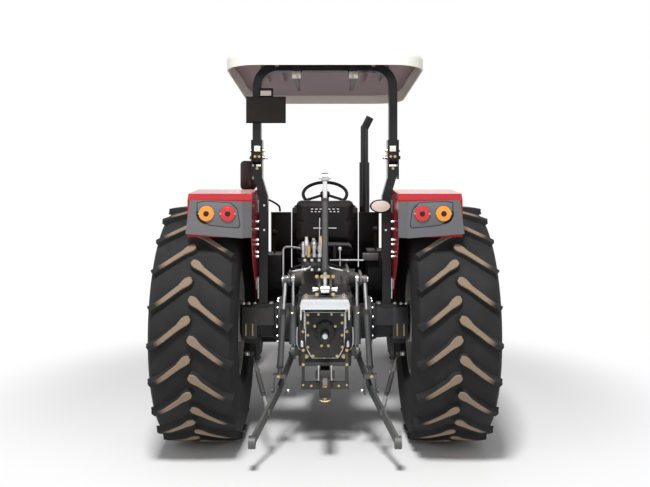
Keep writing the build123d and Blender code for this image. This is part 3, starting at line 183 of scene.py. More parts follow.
def tyre_finish(name, axle, radius):
    """Tyre rubber whose lug tops are rubbed brown and whose ground between the lugs is greyer."""
    m = finish(name, (0.016, 0.016, 0.017), (0.62, 0.85), 0.22, (0.10, 0.092, 0.085), 7, 420, 0.25,
               Specular_IOR_Level=0.2)
    nodes, link = m.node_tree.nodes, m.node_tree.links.new
    coord, split = nodes.new("ShaderNodeTexCoord"), nodes.new("ShaderNodeSeparateXYZ")
    link(coord.outputs["Object"], split.inputs[0])
    flat = nodes.new("ShaderNodeCombineXYZ")
    for axis, middle in (("Y", axle[0]), ("Z", axle[1])):
        away = nodes.new("ShaderNodeMath")
        away.operation = "SUBTRACT"
        away.inputs[1].default_value = middle
        link(split.outputs[axis], away.inputs[0])
        link(away.outputs[0], flat.inputs[axis])
    length = nodes.new("ShaderNodeVectorMath")
    length.operation = "LENGTH"
    link(flat.outputs[0], length.inputs[0])
    top = nodes.new("ShaderNodeMapRange")
    top.inputs["From Min"].default_value = radius - 0.010
    top.inputs["From Max"].default_value = radius - 0.005
    top.inputs["To Max"].default_value = 0.85
    link(length.outputs["Value"], top.inputs["Value"])
    mix = nodes.new("ShaderNodeMix")
    mix.data_type = "RGBA"
    mix.inputs["B"].default_value = (0.30, 0.22, 0.155, 1)
    link(top.outputs["Result"], mix.inputs["Factor"])
    link(nodes["worn"].outputs["Color"], mix.inputs["A"])
    link(mix.outputs["Result"], nodes["Principled BSDF"].inputs["Base Color"])
    return m


MATERIAL = {
    "tyre_rubber": tyre_finish("rear_tyre_rubber", REAR_AXLE, REAR_R),
    "rim_paint": finish("rim_paint", (0.60, 0.60, 0.58), (0.35, 0.5), 0.3),
    "casting_paint": finish("casting_paint", (0.032, 0.033, 0.035), (0.42, 0.6), 0.22, grain=260, bump=0.3,
                            Specular_IOR_Level=0.3),
    "black_paint": finish("black_paint", (0.012, 0.012, 0.013), (0.16, 0.26), 0.04, Specular_IOR_Level=0.3),
    "red_paint": finish("red_paint", (0.40, 0.006, 0.014), (0.16, 0.26), 0.03, Specular_IOR_Level=0.35,
                        Coat_Weight=0.25, Coat_Roughness=0.08),
    "grey_plastic": finish("grey_plastic", (0.13, 0.13, 0.14), (0.5, 0.62), 0.12, grain=600, bump=0.2,
                           Specular_IOR_Level=0.3),
    "cream_plastic": finish("cream_plastic", (0.80, 0.79, 0.72), (0.38, 0.5), 0.08, patch=1.5),
    "black_plastic": finish("black_plastic", (0.008, 0.008, 0.009), (0.42, 0.58), 0.08, grain=700, bump=0.2,
                            Specular_IOR_Level=0.15),
    "amber_lens": finish("amber_lens", (0.90, 0.30, 0.02), (0.12, 0.2), 0.03, Coat_Weight=0.8),
    "red_lens": finish("red_lens", (0.62, 0.012, 0.015), (0.12, 0.2), 0.03, Coat_Weight=0.8),
    "clear_lens": finish("clear_lens", (0.72, 0.62, 0.56), (0.15, 0.25), 0.05, Coat_Weight=0.8),
    "seat_cover": finish("seat_cover", (0.010, 0.010, 0.011), (0.45, 0.62), 0.06, grain=900, bump=0.35,
                         Specular_IOR_Level=0.15),
    "hitch_steel": finish("hitch_steel", (0.10, 0.105, 0.11), (0.4, 0.6), 0.25, Metallic=0.6),
    "bright_steel": finish("bright_steel", (0.62, 0.63, 0.64), (0.2, 0.36), 0.12, Metallic=0.9),
    "zinc_sheet": finish("zinc_sheet", (0.78, 0.79, 0.80), (0.22, 0.36), 0.04, Metallic=0.7),
    "yellow_zinc": finish("yellow_zinc", (0.66, 0.50, 0.24), (0.25, 0.4), 0.08, Metallic=0.85),
    # liner_cloth: a grey-mauve painted shade for the canopy's underside
    "liner_cloth": finish("liner_cloth", (0.36, 0.30, 0.31), (0.7, 0.85), 0.04, grain=500, bump=0.2),
    "lamp_dark": finish("lamp_dark", (0.03, 0.012, 0.012), (0.15, 0.25), 0.0, Specular_IOR_Level=0.3),
    "plate_brown": finish("plate_brown", (0.016, 0.012, 0.010), (0.3, 0.42), 0.06, Specular_IOR_Level=0.2),
    "vinyl_seam": finish("vinyl_seam", (0.008, 0.008, 0.009), (0.6, 0.75), 0.02),
}
FRONT_RUBBER = tyre_finish("front_tyre_rubber", FRONT_AXLE, FRONT_R)

SLOTS = {row["node"]: row["material_slot"] for row in frame["record"]["subparts"]}
for name, node in NODES.items():
    paint = FRONT_RUBBER if name.startswith("front_tyre") else MATERIAL[SLOTS[name]]
    for place in node.material_slots:
        place.material = paint
    if not node.material_slots:
        node.data.materials.append(paint)


# ---------------------------------------------------------------- piece makers

def settle(name, mesh, slot, body, smooth=True):
    """Puts a mesh in the scene as a piece in a slot's finish, riding on a body."""
    piece = bpy.data.objects.new(name, mesh)
    add_object(piece)
    mesh.materials.clear()
    mesh.materials.append(MATERIAL[slot])
    mesh.polygons.foreach_set("use_smooth", [smooth] * len(mesh.polygons))
    if smooth:
        mesh.set_sharp_from_angle(angle=math.radians(35))
    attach(piece, body)
    return piece


def tube(name, points, r, slot, body="chassis"):
    """A pipe or rod bent through the points."""
    curve = bpy.data.curves.new(name, "CURVE")
    curve.dimensions = "3D"
    curve.bevel_depth = r
    curve.bevel_resolution = 3
    curve.use_fill_caps = True
    spline = curve.splines.new("NURBS" if len(points) > 2 else "POLY")
    spline.points.add(len(points) - 1)
    for spot, co in zip(spline.points, points):
        spot.co = (*co, 1)
    if len(points) > 2:
        spline.order_u = 3
        spline.use_endpoint_u = True
    holder = bpy.data.objects.new(name + "_curve", curve)
    mesh = bpy.data.meshes.new_from_object(holder)
    bpy.data.objects.remove(holder)
    return settle(name, mesh, slot, body)


def slab(name, low, high, slot, soft=0.003, body="chassis"):
    """A block with its edges broken."""
    bm = bmesh.new()
    bmesh.ops.create_cube(bm, size=1)
    for v in bm.verts:
        v.co = Vector([(a + b) / 2 + c * (b - a) for a, b, c in zip(low, high, v.co)])
    bmesh.ops.bevel(bm, geom=bm.edges[:], offset=soft, segments=2, affect="EDGES", profile=0.5)
    mesh = bpy.data.meshes.new(name)
    bm.to_mesh(mesh)
    bm.free()
    return settle(name, mesh, slot, body)


def hex_head():
    """A hexagon head on its washer, 1 m across the washer and pointing up Z, for scaling down."""
    bm = bmesh.new()
    for r0, r1, z0, z1, sides in ((0.5, 0.48, 0, 0.09, 20), (0.36, 0.36, 0.09, 0.36, 6),
                                  (0.36, 0.28, 0.36, 0.42, 6)):
        bmesh.ops.create_cone(bm, cap_ends=True, segments=sides, radius1=r0, radius2=r1, depth=z1 - z0,
                              matrix=Matrix.Translation((0, 0, (z0 + z1) / 2)))
    mesh = bpy.data.meshes.new("hex_head")
    bm.to_mesh(mesh)
    bm.free()
    head = bpy.data.objects.new("hex_head", mesh)
    add_object(head)
    return head


HEAD = hex_head()


def bolt_tree():
    """Geometry nodes that set a bolt head on every point, along its axis and at its size."""
    tree = bpy.data.node_groups.new("bolt_heads", "GeometryNodeTree")
    tree.interface.new_socket(name="Geometry", in_out="INPUT", socket_type="NodeSocketGeometry")
    tree.interface.new_socket(name="Finish", in_out="INPUT", socket_type="NodeSocketMaterial")
    tree.interface.new_socket(name="Geometry", in_out="OUTPUT", socket_type="NodeSocketGeometry")
    new, link = tree.nodes.new, tree.links.new
    gi, go = new("NodeGroupInput"), new("NodeGroupOutput")
    info = new("GeometryNodeObjectInfo")
    info.inputs["Object"].default_value = HEAD
    axis, size = new("GeometryNodeInputNamedAttribute"), new("GeometryNodeInputNamedAttribute")
    axis.data_type = "FLOAT_VECTOR"
    axis.inputs["Name"].default_value = "axis"
    size.inputs["Name"].default_value = "size"
    turn = new("FunctionNodeAlignRotationToVector")
    turn.axis = "Z"
    put, real = new("GeometryNodeInstanceOnPoints"), new("GeometryNodeRealizeInstances")
    paint = new("GeometryNodeSetMaterial")
    link(gi.outputs["Geometry"], put.inputs["Points"])
    link(info.outputs["Geometry"], put.inputs["Instance"])
    link(axis.outputs["Attribute"], turn.inputs["Vector"])
    link(turn.outputs["Rotation"], put.inputs["Rotation"])
    link(size.outputs["Attribute"], put.inputs["Scale"])
    link(put.outputs["Instances"], real.inputs["Geometry"])
    link(real.outputs["Geometry"], paint.inputs["Geometry"])
    link(gi.outputs["Finish"], paint.inputs["Material"])
    link(paint.outputs["Geometry"], go.inputs["Geometry"])
    return tree


BOLTS = bolt_tree()


def bolts(name, rows, slot, body="chassis"):
    """Bolt heads at (point, axis, washer diameter) rows."""
    mesh = bpy.data.meshes.new(name + "_points")
    mesh.from_pydata([row[0] for row in rows], [], [])
    # each attribute is filled before the next is made, which would move the first one's data
    axes = mesh.attributes.new("axis", "FLOAT_VECTOR", "POINT")
    axes.data.foreach_set("vector", [c for row in rows for c in row[1]])
    sizes = mesh.attributes.new("size", "FLOAT", "POINT")
    sizes.data.foreach_set("value", [row[2] for row in rows])
    holder = bpy.data.objects.new(name + "_points", mesh)
    add_object(holder)
    nodes = holder.modifiers.new("heads", "NODES")
    nodes.node_group = BOLTS
    nodes[BOLTS.interface.items_tree["Finish"].identifier] = MATERIAL[slot]
    made = bpy.data.meshes.new_from_object(holder.evaluated_get(bpy.context.evaluated_depsgraph_get()))
    made.name = name
    bpy.data.objects.remove(holder)
    return settle(name, made, slot, body)


def circle(x, axle, r, count, turn=0.0):
    """Points on a circle about a wheel's axle."""
    for i in range(count):
        a = turn + i * math.tau / count
        yield (x, axle[0] + r * math.cos(a), axle[1] + r * math.sin(a))


def lathe(name, start, axis, profile, slot, sides=32, body="chassis"):
    """A turned piece: (way along the axis, radius) rows from a start point, in one or several runs."""
    way = Vector(axis).normalized()
    turn = way.to_track_quat("Z", "Y").to_matrix()
    runs = profile if isinstance(profile[0][0], tuple) else (profile,)
    verts, faces = [], []
    for run in runs:
        rows = []
        for along, r in run:
            first = len(verts)
            for i in range(sides):
                a = math.tau * i / sides
                verts.append(Vector(start) + turn @ Vector((r * math.cos(a), r * math.sin(a), along)))
            rows.append(first)
        for a, b in zip(rows, rows[1:]):
            for i in range(sides):
                n = (i + 1) % sides
                faces.append((a + i, a + n, b + n, b + i))
        faces.append(tuple(rows[0] + i for i in reversed(range(sides))))
        faces.append(tuple(rows[-1] + i for i in range(sides)))
    mesh = bpy.data.meshes.new(name)
    mesh.from_pydata(verts, [], faces)
    return settle(name, mesh, slot, body)


def plate(name, outline, y, t, slot, soft=0.0015, body="chassis"):
    """A flat plate that faces the rear: an (x, z) outline with its edges broken, from y forwards by t."""
    bm = bmesh.new()
    face = bm.faces.new([bm.verts.new((x, y, z)) for x, z in outline])
    made = bmesh.ops.extrude_face_region(bm, geom=[face])
    bmesh.ops.translate(bm, vec=(0, t, 0), verts=[v for v in made["geom"] if isinstance(v, bmesh.types.BMVert)])
    bmesh.ops.recalc_face_normals(bm, faces=bm.faces[:])
    if soft:
        bmesh.ops.bevel(bm, geom=bm.edges[:], offset=soft, segments=2, affect="EDGES", profile=0.5)
    mesh = bpy.data.meshes.new(name)
    bm.to_mesh(mesh)
    bm.free()
    return settle(name, mesh, slot, body)


def join(name, pieces):
    """Several pieces made into one, each keeping its finish."""
    bm, finishes = bmesh.new(), []
    for piece in pieces:
        paint = piece.data.materials[0]
        if paint not in finishes:
            finishes.append(paint)
        first = len(bm.faces)
        bm.from_mesh(piece.data)
        bm.faces.ensure_lookup_table()
        for face in bm.faces[first:]:
            face.material_index = finishes.index(paint)
    mesh = bpy.data.meshes.new(name)
    bm.to_mesh(mesh)
    bm.free()
    for paint in finishes:
        mesh.materials.append(paint)
    keep = pieces[0]
    keep.data = mesh
    keep.name = name
    for piece in pieces[1:]:
        bpy.data.objects.remove(piece)
    return keep


def both(points, side):
    """The same points on one side or the other."""
    return [(side * p[0], p[1], p[2]) for p in points]


def arc(x, z, r, a0, a1, steps):
    """Points (x, z) on an arc, angles in degrees from +x."""
    return [(x + r * math.cos(math.radians(a0 + (a1 - a0) * i / steps)),
             z + r * math.sin(math.radians(a0 + (a1 - a0) * i / steps))) for i in range(steps + 1)]


def rounded(x, z, half_x, half_z, r):
    """A rounded rectangle, given by the box its corners' middles lie on."""
    outline = []
    for i, (sx, sz) in enumerate(((1, 1), (-1, 1), (-1, -1), (1, -1))):
        outline += arc(x + sx * half_x, z + sz * half_z, r, 90 * i, 90 * i + 90, 6)
    return outline


def flank_slab(name, side, low, high, slot, soft=0.003, body="chassis"):
    """A block given for the right side, put on either side."""
    xs = sorted((side * low[0], side * high[0]))
    return slab(name, (xs[0], low[1], low[2]), (xs[1], high[1], high[2]), slot, soft, body)


# ---------------------------------------------------------------- seat covers

def pillow(name, node, body, inset, cap):
    """A stuffed vinyl cushion in a CAD cushion's place: a rounded block, blown up as cloth and capped."""
    low, high = (Vector(c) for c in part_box(node))
    low, high = low + Vector(inset), high - Vector(inset)
    bm = bmesh.new()
    bmesh.ops.create_cube(bm, size=1)
    for v in bm.verts:
        v.co = Vector([(a + b) / 2 + c * (b - a) for a, b, c in zip(low, high, v.co)])
    bmesh.ops.bevel(bm, geom=bm.edges[:], offset=min(high - low) * 0.36, segments=4, affect="EDGES", profile=0.5)
    mesh = bpy.data.meshes.new(name)
    bm.to_mesh(mesh)
    bm.free()
    work = bpy.data.objects.new(name + "_work", mesh)
    add_object(work)
    remesh = work.modifiers.new("remesh", "REMESH")
    remesh.mode = "VOXEL"
    remesh.voxel_size = 0.006
    flat = bpy.data.meshes.new_from_object(work.evaluated_get(bpy.context.evaluated_depsgraph_get()))
    work.modifiers.clear()
    work.data = flat
    rest = [v.co.copy() for v in flat.vertices]
    cloth = work.modifiers.new("cloth", "CLOTH")
    cloth.settings.use_pressure = True
    cloth.settings.uniform_pressure_force = 4
    cloth.settings.effector_weights.gravity = 0
    for step in range(1, 21):
        bpy.context.scene.frame_set(step)
    blown = bpy.data.meshes.new_from_object(work.evaluated_get(bpy.context.evaluated_depsgraph_get()))
    bpy.context.scene.frame_set(1)
    work.modifiers.clear()
    for v, start in zip(blown.vertices, rest):
        move = v.co - start
        if move.length > cap:
            v.co = start + move.normalized() * cap
    work.data = blown
    smooth = work.modifiers.new("smooth", "SUBSURF")
    smooth.levels = smooth.render_levels = 1
    made = bpy.data.meshes.new_from_object(work.evaluated_get(bpy.context.evaluated_depsgraph_get()))
    bpy.data.objects.remove(work)
    made.name = name
    piece = settle(name, made, "seat_cover", body)
    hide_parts(node)


pillow("seat_pad", "seat_cushion", "chassis", (0.012, 0.012, 0.009), 0.010)
pillow("back_pad", "seat_backrest", "chassis", (0.012, 0.010, 0.012), 0.010)


# ---------------------------------------------------------------- tyres

# place outwards, lead round the tyre and half width along a lug, from its nose, as shares of the half tread
LUG_STATIONS = (
    (-0.02, 0.395, 0.030), (0.00, 0.385, 0.068), (0.045, 0.350, 0.100), (0.105, 0.300, 0.106), (0.18, 0.235, 0.088),
    (0.26, 0.165, 0.066), (0.44, 0.020, 0.062), (0.62, -0.125, 0.062), (0.74, -0.215, 0.064), (0.88, -0.310, 0.067),
    (1.00, -0.395, 0.072),
)
# share of the lug's height and extra half width, in metres, from the foot on one flank to the foot on the other
LUG_SECTION = ((-0.15, 0.016), (0.2, 0.007), (0.88, 0.0015), (1.0, -0.003))


def tyre(node, wheel, axle, outer_r, tread, section, rim_r, rim_w, count, paint):
    """A tyre in the CAD tyre's place: a rounded carcass with moulded rings and two staggered rows of lugs."""
    low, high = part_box(node)
    middle, side = (low[0] + high[0]) / 2, (1 if low[0] > 0 else -1)
    half, wide, depth = tread / 2, section / 2, outer_r - rim_r
    height = 0.085 * depth
    base = outer_r - height
    right = [
        (rim_w / 2 - 0.0103, rim_r + 0.0005), (rim_w / 2 - 0.0103, rim_r + 0.0264),
        (rim_w / 2 + 0.004, rim_r + 0.0264), (wide - 0.028, rim_r + 0.14 * depth),
        (wide - 0.0215, rim_r + 0.155 * depth), (wide - 0.021, rim_r + 0.18 * depth),
        (wide - 0.0125, rim_r + 0.30 * depth), (wide - 0.003, rim_r + 0.44 * depth),
        (wide - 0.0005, rim_r + 0.5 * depth), (wide - 0.002, rim_r + 0.56 * depth),
        (wide - 0.008, rim_r + 0.66 * depth), (wide - 0.006, rim_r + 0.675 * depth),
        (wide - 0.011, rim_r + 0.75 * depth), (half + 0.012, base - 0.10 * depth),
        (half - 0.006, base - 0.035 * depth), (half - 0.035, base - 0.014 * depth),
        (0.55 * half, base - 0.004 * depth), (0.2 * half, base),
    ]
    ring = right + [(-x, r) for x, r in reversed(right)]
    verts, faces, turns = [], [], 120

    def put(u, r, lead_angle):
        verts.append((middle + side * u, axle[0] - r * math.sin(lead_angle), axle[1] + r * math.cos(lead_angle)))
        return len(verts) - 1

    rows = [[put(u, r, math.tau * i / turns) for u, r in ring] for i in range(turns)]
    for i in range(turns):
        here, there = rows[i], rows[(i + 1) % turns]
        for k in range(len(ring)):
            n = (k + 1) % len(ring)
            faces.append((here[k], here[n], there[n], there[k]))
    line = [Vector((u * half, v * half)) for u, v, _ in LUG_STATIONS]
    flank = LUG_SECTION + tuple(reversed(LUG_SECTION))
    for row, sign in ((0, 1), (1, -1)):
        for i in range(count):
            turn = (i + 0.5 * row) * math.tau / count
            grid = []
            for k, (point, (_, _, width)) in enumerate(zip(line, LUG_STATIONS)):
                way = (line[min(k + 1, len(line) - 1)] - line[max(k - 1, 0)]).normalized()
                across = Vector((-way.y, way.x))
                crown = outer_r - 0.0005 - 0.0025 * (point.x / half) ** 2
                stops = []
                for m, (share, extra) in enumerate(flank):
                    reach = (width * half + extra) * (1 if m < len(LUG_SECTION) else -1)
                    spot = point + across * reach
                    if k == 0:
                        spot -= way * (0.9 * extra)
                    r = base - 0.012 * (abs(point.x) / half) ** 3 + share * (crown - base)
                    stops.append(put(sign * spot.x, min(r, crown), turn - spot.y / outer_r))
                grid.append(stops)
            for a, b in zip(grid, grid[1:]):
                for m in range(len(flank) - 1):
                    faces.append((a[m], a[m + 1], b[m + 1], b[m]))
            faces.append(tuple(grid[0]))
            faces.append(tuple(reversed(grid[-1])))
    mesh = bpy.data.meshes.new(node + "_treads")
    mesh.from_pydata(verts, [], faces)
    bm = bmesh.new()
    bm.from_mesh(mesh)
    bmesh.ops.recalc_face_normals(bm, faces=bm.faces[:])
    bm.to_mesh(mesh)
    bm.free()
    piece = settle(node + "_treads", mesh, "tyre_rubber", wheel)
    mesh.materials[0] = paint
    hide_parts(node)


for word in ("left", "right"):
    tyre("rear_tyre_" + word, "rear_wheel_" + word[0], REAR_AXLE, REAR_R, 0.514, 0.58, 0.381, 0.46, 21,
         MATERIAL["tyre_rubber"])
    tyre("front_tyre_" + word, "front_wheel_" + word[0], FRONT_AXLE, FRONT_R, 0.35, 0.38, 0.305, 0.304, 16,
         FRONT_RUBBER)


# ---------------------------------------------------------------- fasteners

for side, word in SIDES:
    wheel = "rear_wheel_" + word[0]
    rows = [(p, (side, 0, 0), 0.040) for p in circle(side * 0.750, REAR_AXLE, 0.175, 10)]
    bolts("rear_wheel_nuts_" + word, rows, "bright_steel", wheel)


# ---------------------------------------------------------------- rear housing, power take-off and drawbar

COVER = [(-0.132, 0.955), (0.132, 0.955), (0.132, 0.720), (0.087, 0.642), (-0.087, 0.642), (-0.132, 0.720)]
plate("cover_rim", [(x * 1.055, 0.81 + (z - 0.81) * 1.035) for x, z in COVER], REAR_FACE - 0.006, 0.006,
      "bright_steel")
plate("cover_plate", COVER, COVER_FACE, 0.013, "casting_paint", 0.003)
for side, word in SIDES:
    rib = [(0.118, 0.842), (0.072, 0.842), (0.072, 0.800), (0.036, 0.760), (0.012, 0.712), (0.034, 0.690),
           (0.098, 0.760)]
    plate("cover_rib_" + word, [(side * x, z) for x, z in rib], COVER_FACE - 0.007, 0.008, "casting_paint", 0.003)
lathe("pto_housing", (0, COVER_FACE, PTO_HOUSING_Z), BACK, [(-0.002, 0.066), (0.012, 0.066), (0.016, 0.061),
                                                            (0.030, 0.059), (0.034, 0.054), (0.036, 0.034)],
      "casting_paint", 48)
lathe("pto_collar", (0, COVER_FACE - 0.034, SHAFT_Z), BACK, [(0, 0.030), (0.020, 0.030), (0.022, 0.027),
                                                             (0.040, 0.026), (0.042, 0.0225)], "black_plastic",
      24)
bolts("pto_housing_bolts", [((0.052 * math.cos(a), COVER_FACE - 0.031, PTO_HOUSING_Z + 0.052 * math.sin(a)), BACK,
                             0.013) for a in (math.tau * (i + 0.5) / 10 for i in range(10))], "black_plastic")
COVER_BOLTS = (
    (0.119, 0.941), (0.071, 0.8635), (0.023, 0.728), (0.119, 0.7176), (0.083, 0.655), (0.119, 0.885), (0.119, 0.80),
)
rows = [((s * x, COVER_FACE - (0.007 if (x, z) in (COVER_BOLTS[1], COVER_BOLTS[2]) else 0), z), BACK, 0.020)
        for x, z in COVER_BOLTS for s in (-1, 1)]
rows += [((x, COVER_FACE, 0.944), BACK, 0.018) for x in (-0.045, 0.045)]
bolts("cover_bolts", rows, "yellow_zinc")
bolts("housing_bolts", [((s * x, REAR_FACE, z), BACK, size)
                        for x, z, size in ((0.1525, 0.822, 0.022), (0.1525, 0.968, 0.02), (0.1308, 0.6495, 0.032),
                                           (0.169, 1.0, 0.018), (0.169, 0.93, 0.018)) for s in (-1, 1)],
      "yellow_zinc")
for side, word in SIDES:
    # white eyelet nuts over the guard, its side brackets, and the capped pins under them
    ring = [(side * 0.128 + x, -1.628, z) for x, z in arc(0, 1.089, 0.0095, -80, 260, 10)]
    tube("guard_eyelet_" + word, ring, 0.0032, "yellow_zinc")
    flank_slab("guard_bracket_" + word, side, (0.1405, REAR_FACE - 0.030, 0.845),
               (0.1465, REAR_FACE + 0.002, 1.02), "zinc_sheet", 0.0015)
    lathe("check_valve_" + word, (side * 0.159, -1.552, 0.722), UP, [(0, 0.007), (0.002, 0.012), (0.030, 0.0125),
                                                                     (0.040, 0.010), (0.046, 0.004)],
          "zinc_sheet", 16)
    tube("pilot_pipe_" + word, both([(0.168, -1.540, 0.70), (0.190, -1.560, 0.715), (0.196, -1.560, 0.78),
                                     (0.192, -1.555, 0.86)], side), 0.004, "bright_steel")
    # ribs down the housing's flanks
    for z in (0.70, 0.79, 0.88, 0.97):
        flank_slab(f"housing_rib_{word}_{z:.2f}", side, (0.168, REAR_FACE - 0.004, z),
                   (0.186, REAR_FACE + 0.02, z + 0.012), "casting_paint", 0.002)
    # trumpet flange, its bolts, and the clamp over the roll bar's foot
    lathe("trumpet_flange_" + word, (side * 0.300, REAR_AXLE[0], REAR_AXLE[1]), (side, 0, 0),
          [(0, 0.176), (0.003, 0.180), (0.033, 0.180), (0.036, 0.176), (0.040, 0.140), (0.075, 0.126)],
          "casting_paint", 48)
    bolts("trumpet_bolts_" + word, [(p, (side, 0, 0), 0.024) for p in circle(side * 0.336, REAR_AXLE, 0.160, 14,
                                                                             0.1)], "bright_steel")
    flank_slab("foot_plate_" + word, side, (0.398, -1.398, 0.972), (0.598, -1.236, 0.992), "black_paint")
    flank_slab("trumpet_clamp_" + word, side, (0.480, -1.398, 0.745), (0.592, -1.230, 0.975), "casting_paint",
               0.010)
    flank_slab("stabiliser_bracket_" + word, side, (0.470, -1.300, 0.695), (0.585, -1.232, 0.750),
               "casting_paint", 0.012)
    for x in (0.514, 0.562):
        tube(f"clamp_stud_{word}_{x}", both([(x, -1.402, 0.77), (x, -1.402, 0.855)], side), 0.0055, "yellow_zinc")
    bolts("foot_bolts_" + word, [((side * x, -1.372, 0.991), UP, 0.038) for x in (0.545, 0.583)] +
          [((side * x, -1.372, 0.997), UP, 0.030) for x in (0.378,)], "bright_steel")
    # ball nut and washers on the stabiliser's pin, outboard
    lathe("stabiliser_nut_" + word, (side * 0.549, -1.2375, 0.610), (side, 0, 0),
          [((0, 0.017), (0.006, 0.017)), ((0.006, 0.012), (0.014, 0.018), (0.024, 0.020), (0.034, 0.016),
                                          (0.040, 0.006))], "bright_steel", 20)
    # perforated plate at the foot of the fender's inner wall
    flank_slab("fender_gusset_" + word, side, (0.474, -1.372, 1.03), (0.481, -1.20, 1.17), "zinc_sheet", 0.0015)
    bolts("gusset_bolts_" + word, [((side * 0.474, y, z), (-side, 0, 0), 0.022)
                                   for y, z in ((-1.35, 1.15), (-1.35, 1.09), (-1.33, 1.05))], "black_plastic")

# drawbar: bright wear strip, jaw, pin and the clamp that holds the bar
slab("drawbar_strip", (-0.016, -1.800, 0.506), (0.016, -1.560, 0.512), "zinc_sheet", 0.002)
slab("drawbar_jaw", (-0.037, -1.862, 0.452), (0.037, -1.782, 0.516), "casting_paint", 0.006)
lathe("drawbar_pin", (0, -1.822, 0.425), UP, [((0, 0.014), (0.030, 0.014)),
                                              ((0.090, 0.020), (0.098, 0.020), (0.102, 0.014))], "yellow_zinc",
      20)
tube("drawbar_clip", [(-0.034, -1.845, 0.437), (-0.020, -1.852, 0.428), (0.020, -1.852, 0.428),
                      (0.034, -1.845, 0.437)], 0.004, "yellow_zinc")
slab("drawbar_clamp", (-0.066, -1.575, 0.508), (0.066, -1.535, 0.560), "casting_paint", 0.005)
slab("drawbar_cross", (-0.150, -1.553, 0.590), (0.150, -1.530, 0.612), "casting_paint", 0.004)
for side, word in SIDES:
    lathe("drawbar_stud_" + word, (side * 0.044, -1.580, 0.500), UP,
          [((0, 0.011), (0.012, 0.011)), ((0.012, 0.006), (0.088, 0.006)),
           ((0.088, 0.012), (0.100, 0.012), (0.103, 0.008))], "bright_steel", 16)
    bolts("hanger_bolts_" + word, [((side * 0.151, -1.5520, z), BACK, 0.022) for z in (0.46, 0.60, 0.70)] +
          [((side * 0.095, -1.558, 0.455), BACK, 0.018)], "yellow_zinc")


# ---------------------------------------------------------------- hitch

for side, word in SIDES:
    # lift rod: bright upper screw, lock nuts, grey barrel and the stirrup's pin
    top, low = (Vector((side * x, y, z)) for x, y, z in (LIFT_ROD_TOP, LIFT_ROD_PIN))
    way = (low - top).normalized()
    for start, stop, r, slot, edges in ((0.020, 0.205, 0.0140, "bright_steel", 24),
                                        (0.205, 0.240, 0.0250, "casting_paint", 6),
                                        (0.240, 0.600, 0.0215, "hitch_steel", 24),
                                        (0.600, 0.618, 0.0270, "casting_paint", 6)):
        lathe(f"rod_part_{word}_{start}", top + way * start, way, [(0, r), (stop - start, r)], slot, edges,
              "hanging_rods")
    bolts("stirrup_bolts_" + word, [((low.x, low.y - 0.036, low.z + 0.105), BACK, 0.022)], "yellow_zinc",
          "hanging_rods")
    lathe("stirrup_pin_" + word, (side * 0.270, *LIFT_ROD_PIN[1:]), (-side, 0, 0),
          [(0, 0.012), (0.020, 0.012), (0.024, 0.008)], "zinc_sheet", 20, "hanging_rods")
    lathe("rod_eye_cap_" + word, (side * 0.286, *LIFT_ROD_TOP[1:]), (side, 0, 0),
          [(0, 0.019), (0.006, 0.019), (0.010, 0.012)], "bright_steel", 20, "rockshaft")
    # caps and bolts on the ends of the rockshaft
    lathe("rockshaft_cap_" + word, (side * 0.254, *ROCKSHAFT), (side, 0, 0),
          [(0, 0.038), (0.008, 0.038), (0.012, 0.030)], "casting_paint", 32, "rockshaft")
    bolts("rockshaft_bolt_" + word, [((side * 0.265, *ROCKSHAFT), (side, 0, 0), 0.030)], "bright_steel",
          "rockshaft")
    # stabiliser: bright screw, collar and lower end over the link's own rod
    pivot, clevis = (Vector((side * x, y, z)) for x, y, z in (STABILISER_PIVOT, STABILISER_CLEVIS))
    way, reach = (clevis - pivot).normalized(), (clevis - pivot).length
    for start, stop, r, slot in ((0.20, 0.30, 0.015, "bright_steel"), (0.31, 0.35, 0.022, "bright_steel"),
                                 (0.78, 0.93, 0.0155, "zinc_sheet")):
        lathe(f"stabiliser_part_{word}_{start}", pivot + way * (start * reach), way,
              [(0, r), ((stop - start) * reach, r)], slot, 20, "draught_links")
    lathe("clevis_pin_" + word, clevis + Vector((-side * 0.004, 0, 0)), (side, 0, 0),
          [(0, 0.013), (0.020, 0.013), (0.026, 0.008)], "yellow_zinc", 20, "draught_links")
    # ram: clip and hose at its head
    tube("ram_clip_" + word, both([(0.212, -1.548, 0.985), (0.214, -1.562, 0.962), (0.226, -1.566, 0.955),
                                   (0.236, -1.562, 0.962), (0.238, -1.548, 0.985)], side), 0.0035, "yellow_zinc")
    tube("ram_hose_" + word, both([(0.205, -1.530, 0.99), (0.196, -1.500, 1.03), (0.190, -1.450, 1.07),
                                   (0.150, -1.430, 1.11)], side), 0.007, "black_plastic")

# top link: bright screws, lock nuts, barrel, handle and the ends of its pins
for name, z0, z1, r, slot, edges in (("lower_screw", 1.150, 1.255, 0.0150, "zinc_sheet", 24),
                                     ("lower_nut", 1.252, 1.272, 0.0270, "casting_paint", 6),
                                     ("barrel", 1.272, 1.735, 0.0215, "hitch_steel", 32),
                                     ("upper_nut", 1.735, 1.755, 0.0270, "casting_paint", 6),
                                     ("upper_screw", 1.755, 1.868, 0.0155, "zinc_sheet", 24)):
    lathe("top_link_" + name, (0, TOP_LINK_Y, z0), UP, [(0, r), (z1 - z0, r)], slot, edges, "upper_link")
bolts("top_link_bolts", [((s * 0.0225, TOP_LINK_Y, 1.895), (s, 0, 0), 0.045) for s in (-1, 1)], "bright_steel",
      "upper_link")
tube("top_link_handle", [(-0.036, TOP_LINK_Y - 0.012, 1.62), (-0.040, TOP_LINK_Y - 0.016, 1.50),
                         (-0.036, TOP_LINK_Y - 0.012, 1.38)], 0.004, "bright_steel", "upper_link")
for x in (-0.078, 0.078):
    lathe(f"top_pin_{x}", (x, TOP_LINK_Y, 1.135), (math.copysign(1, x), 0, 0),
          [(-0.008, 0.018), (0.004, 0.018), (0.008, 0.012)], "bright_steel", 20, "upper_link")
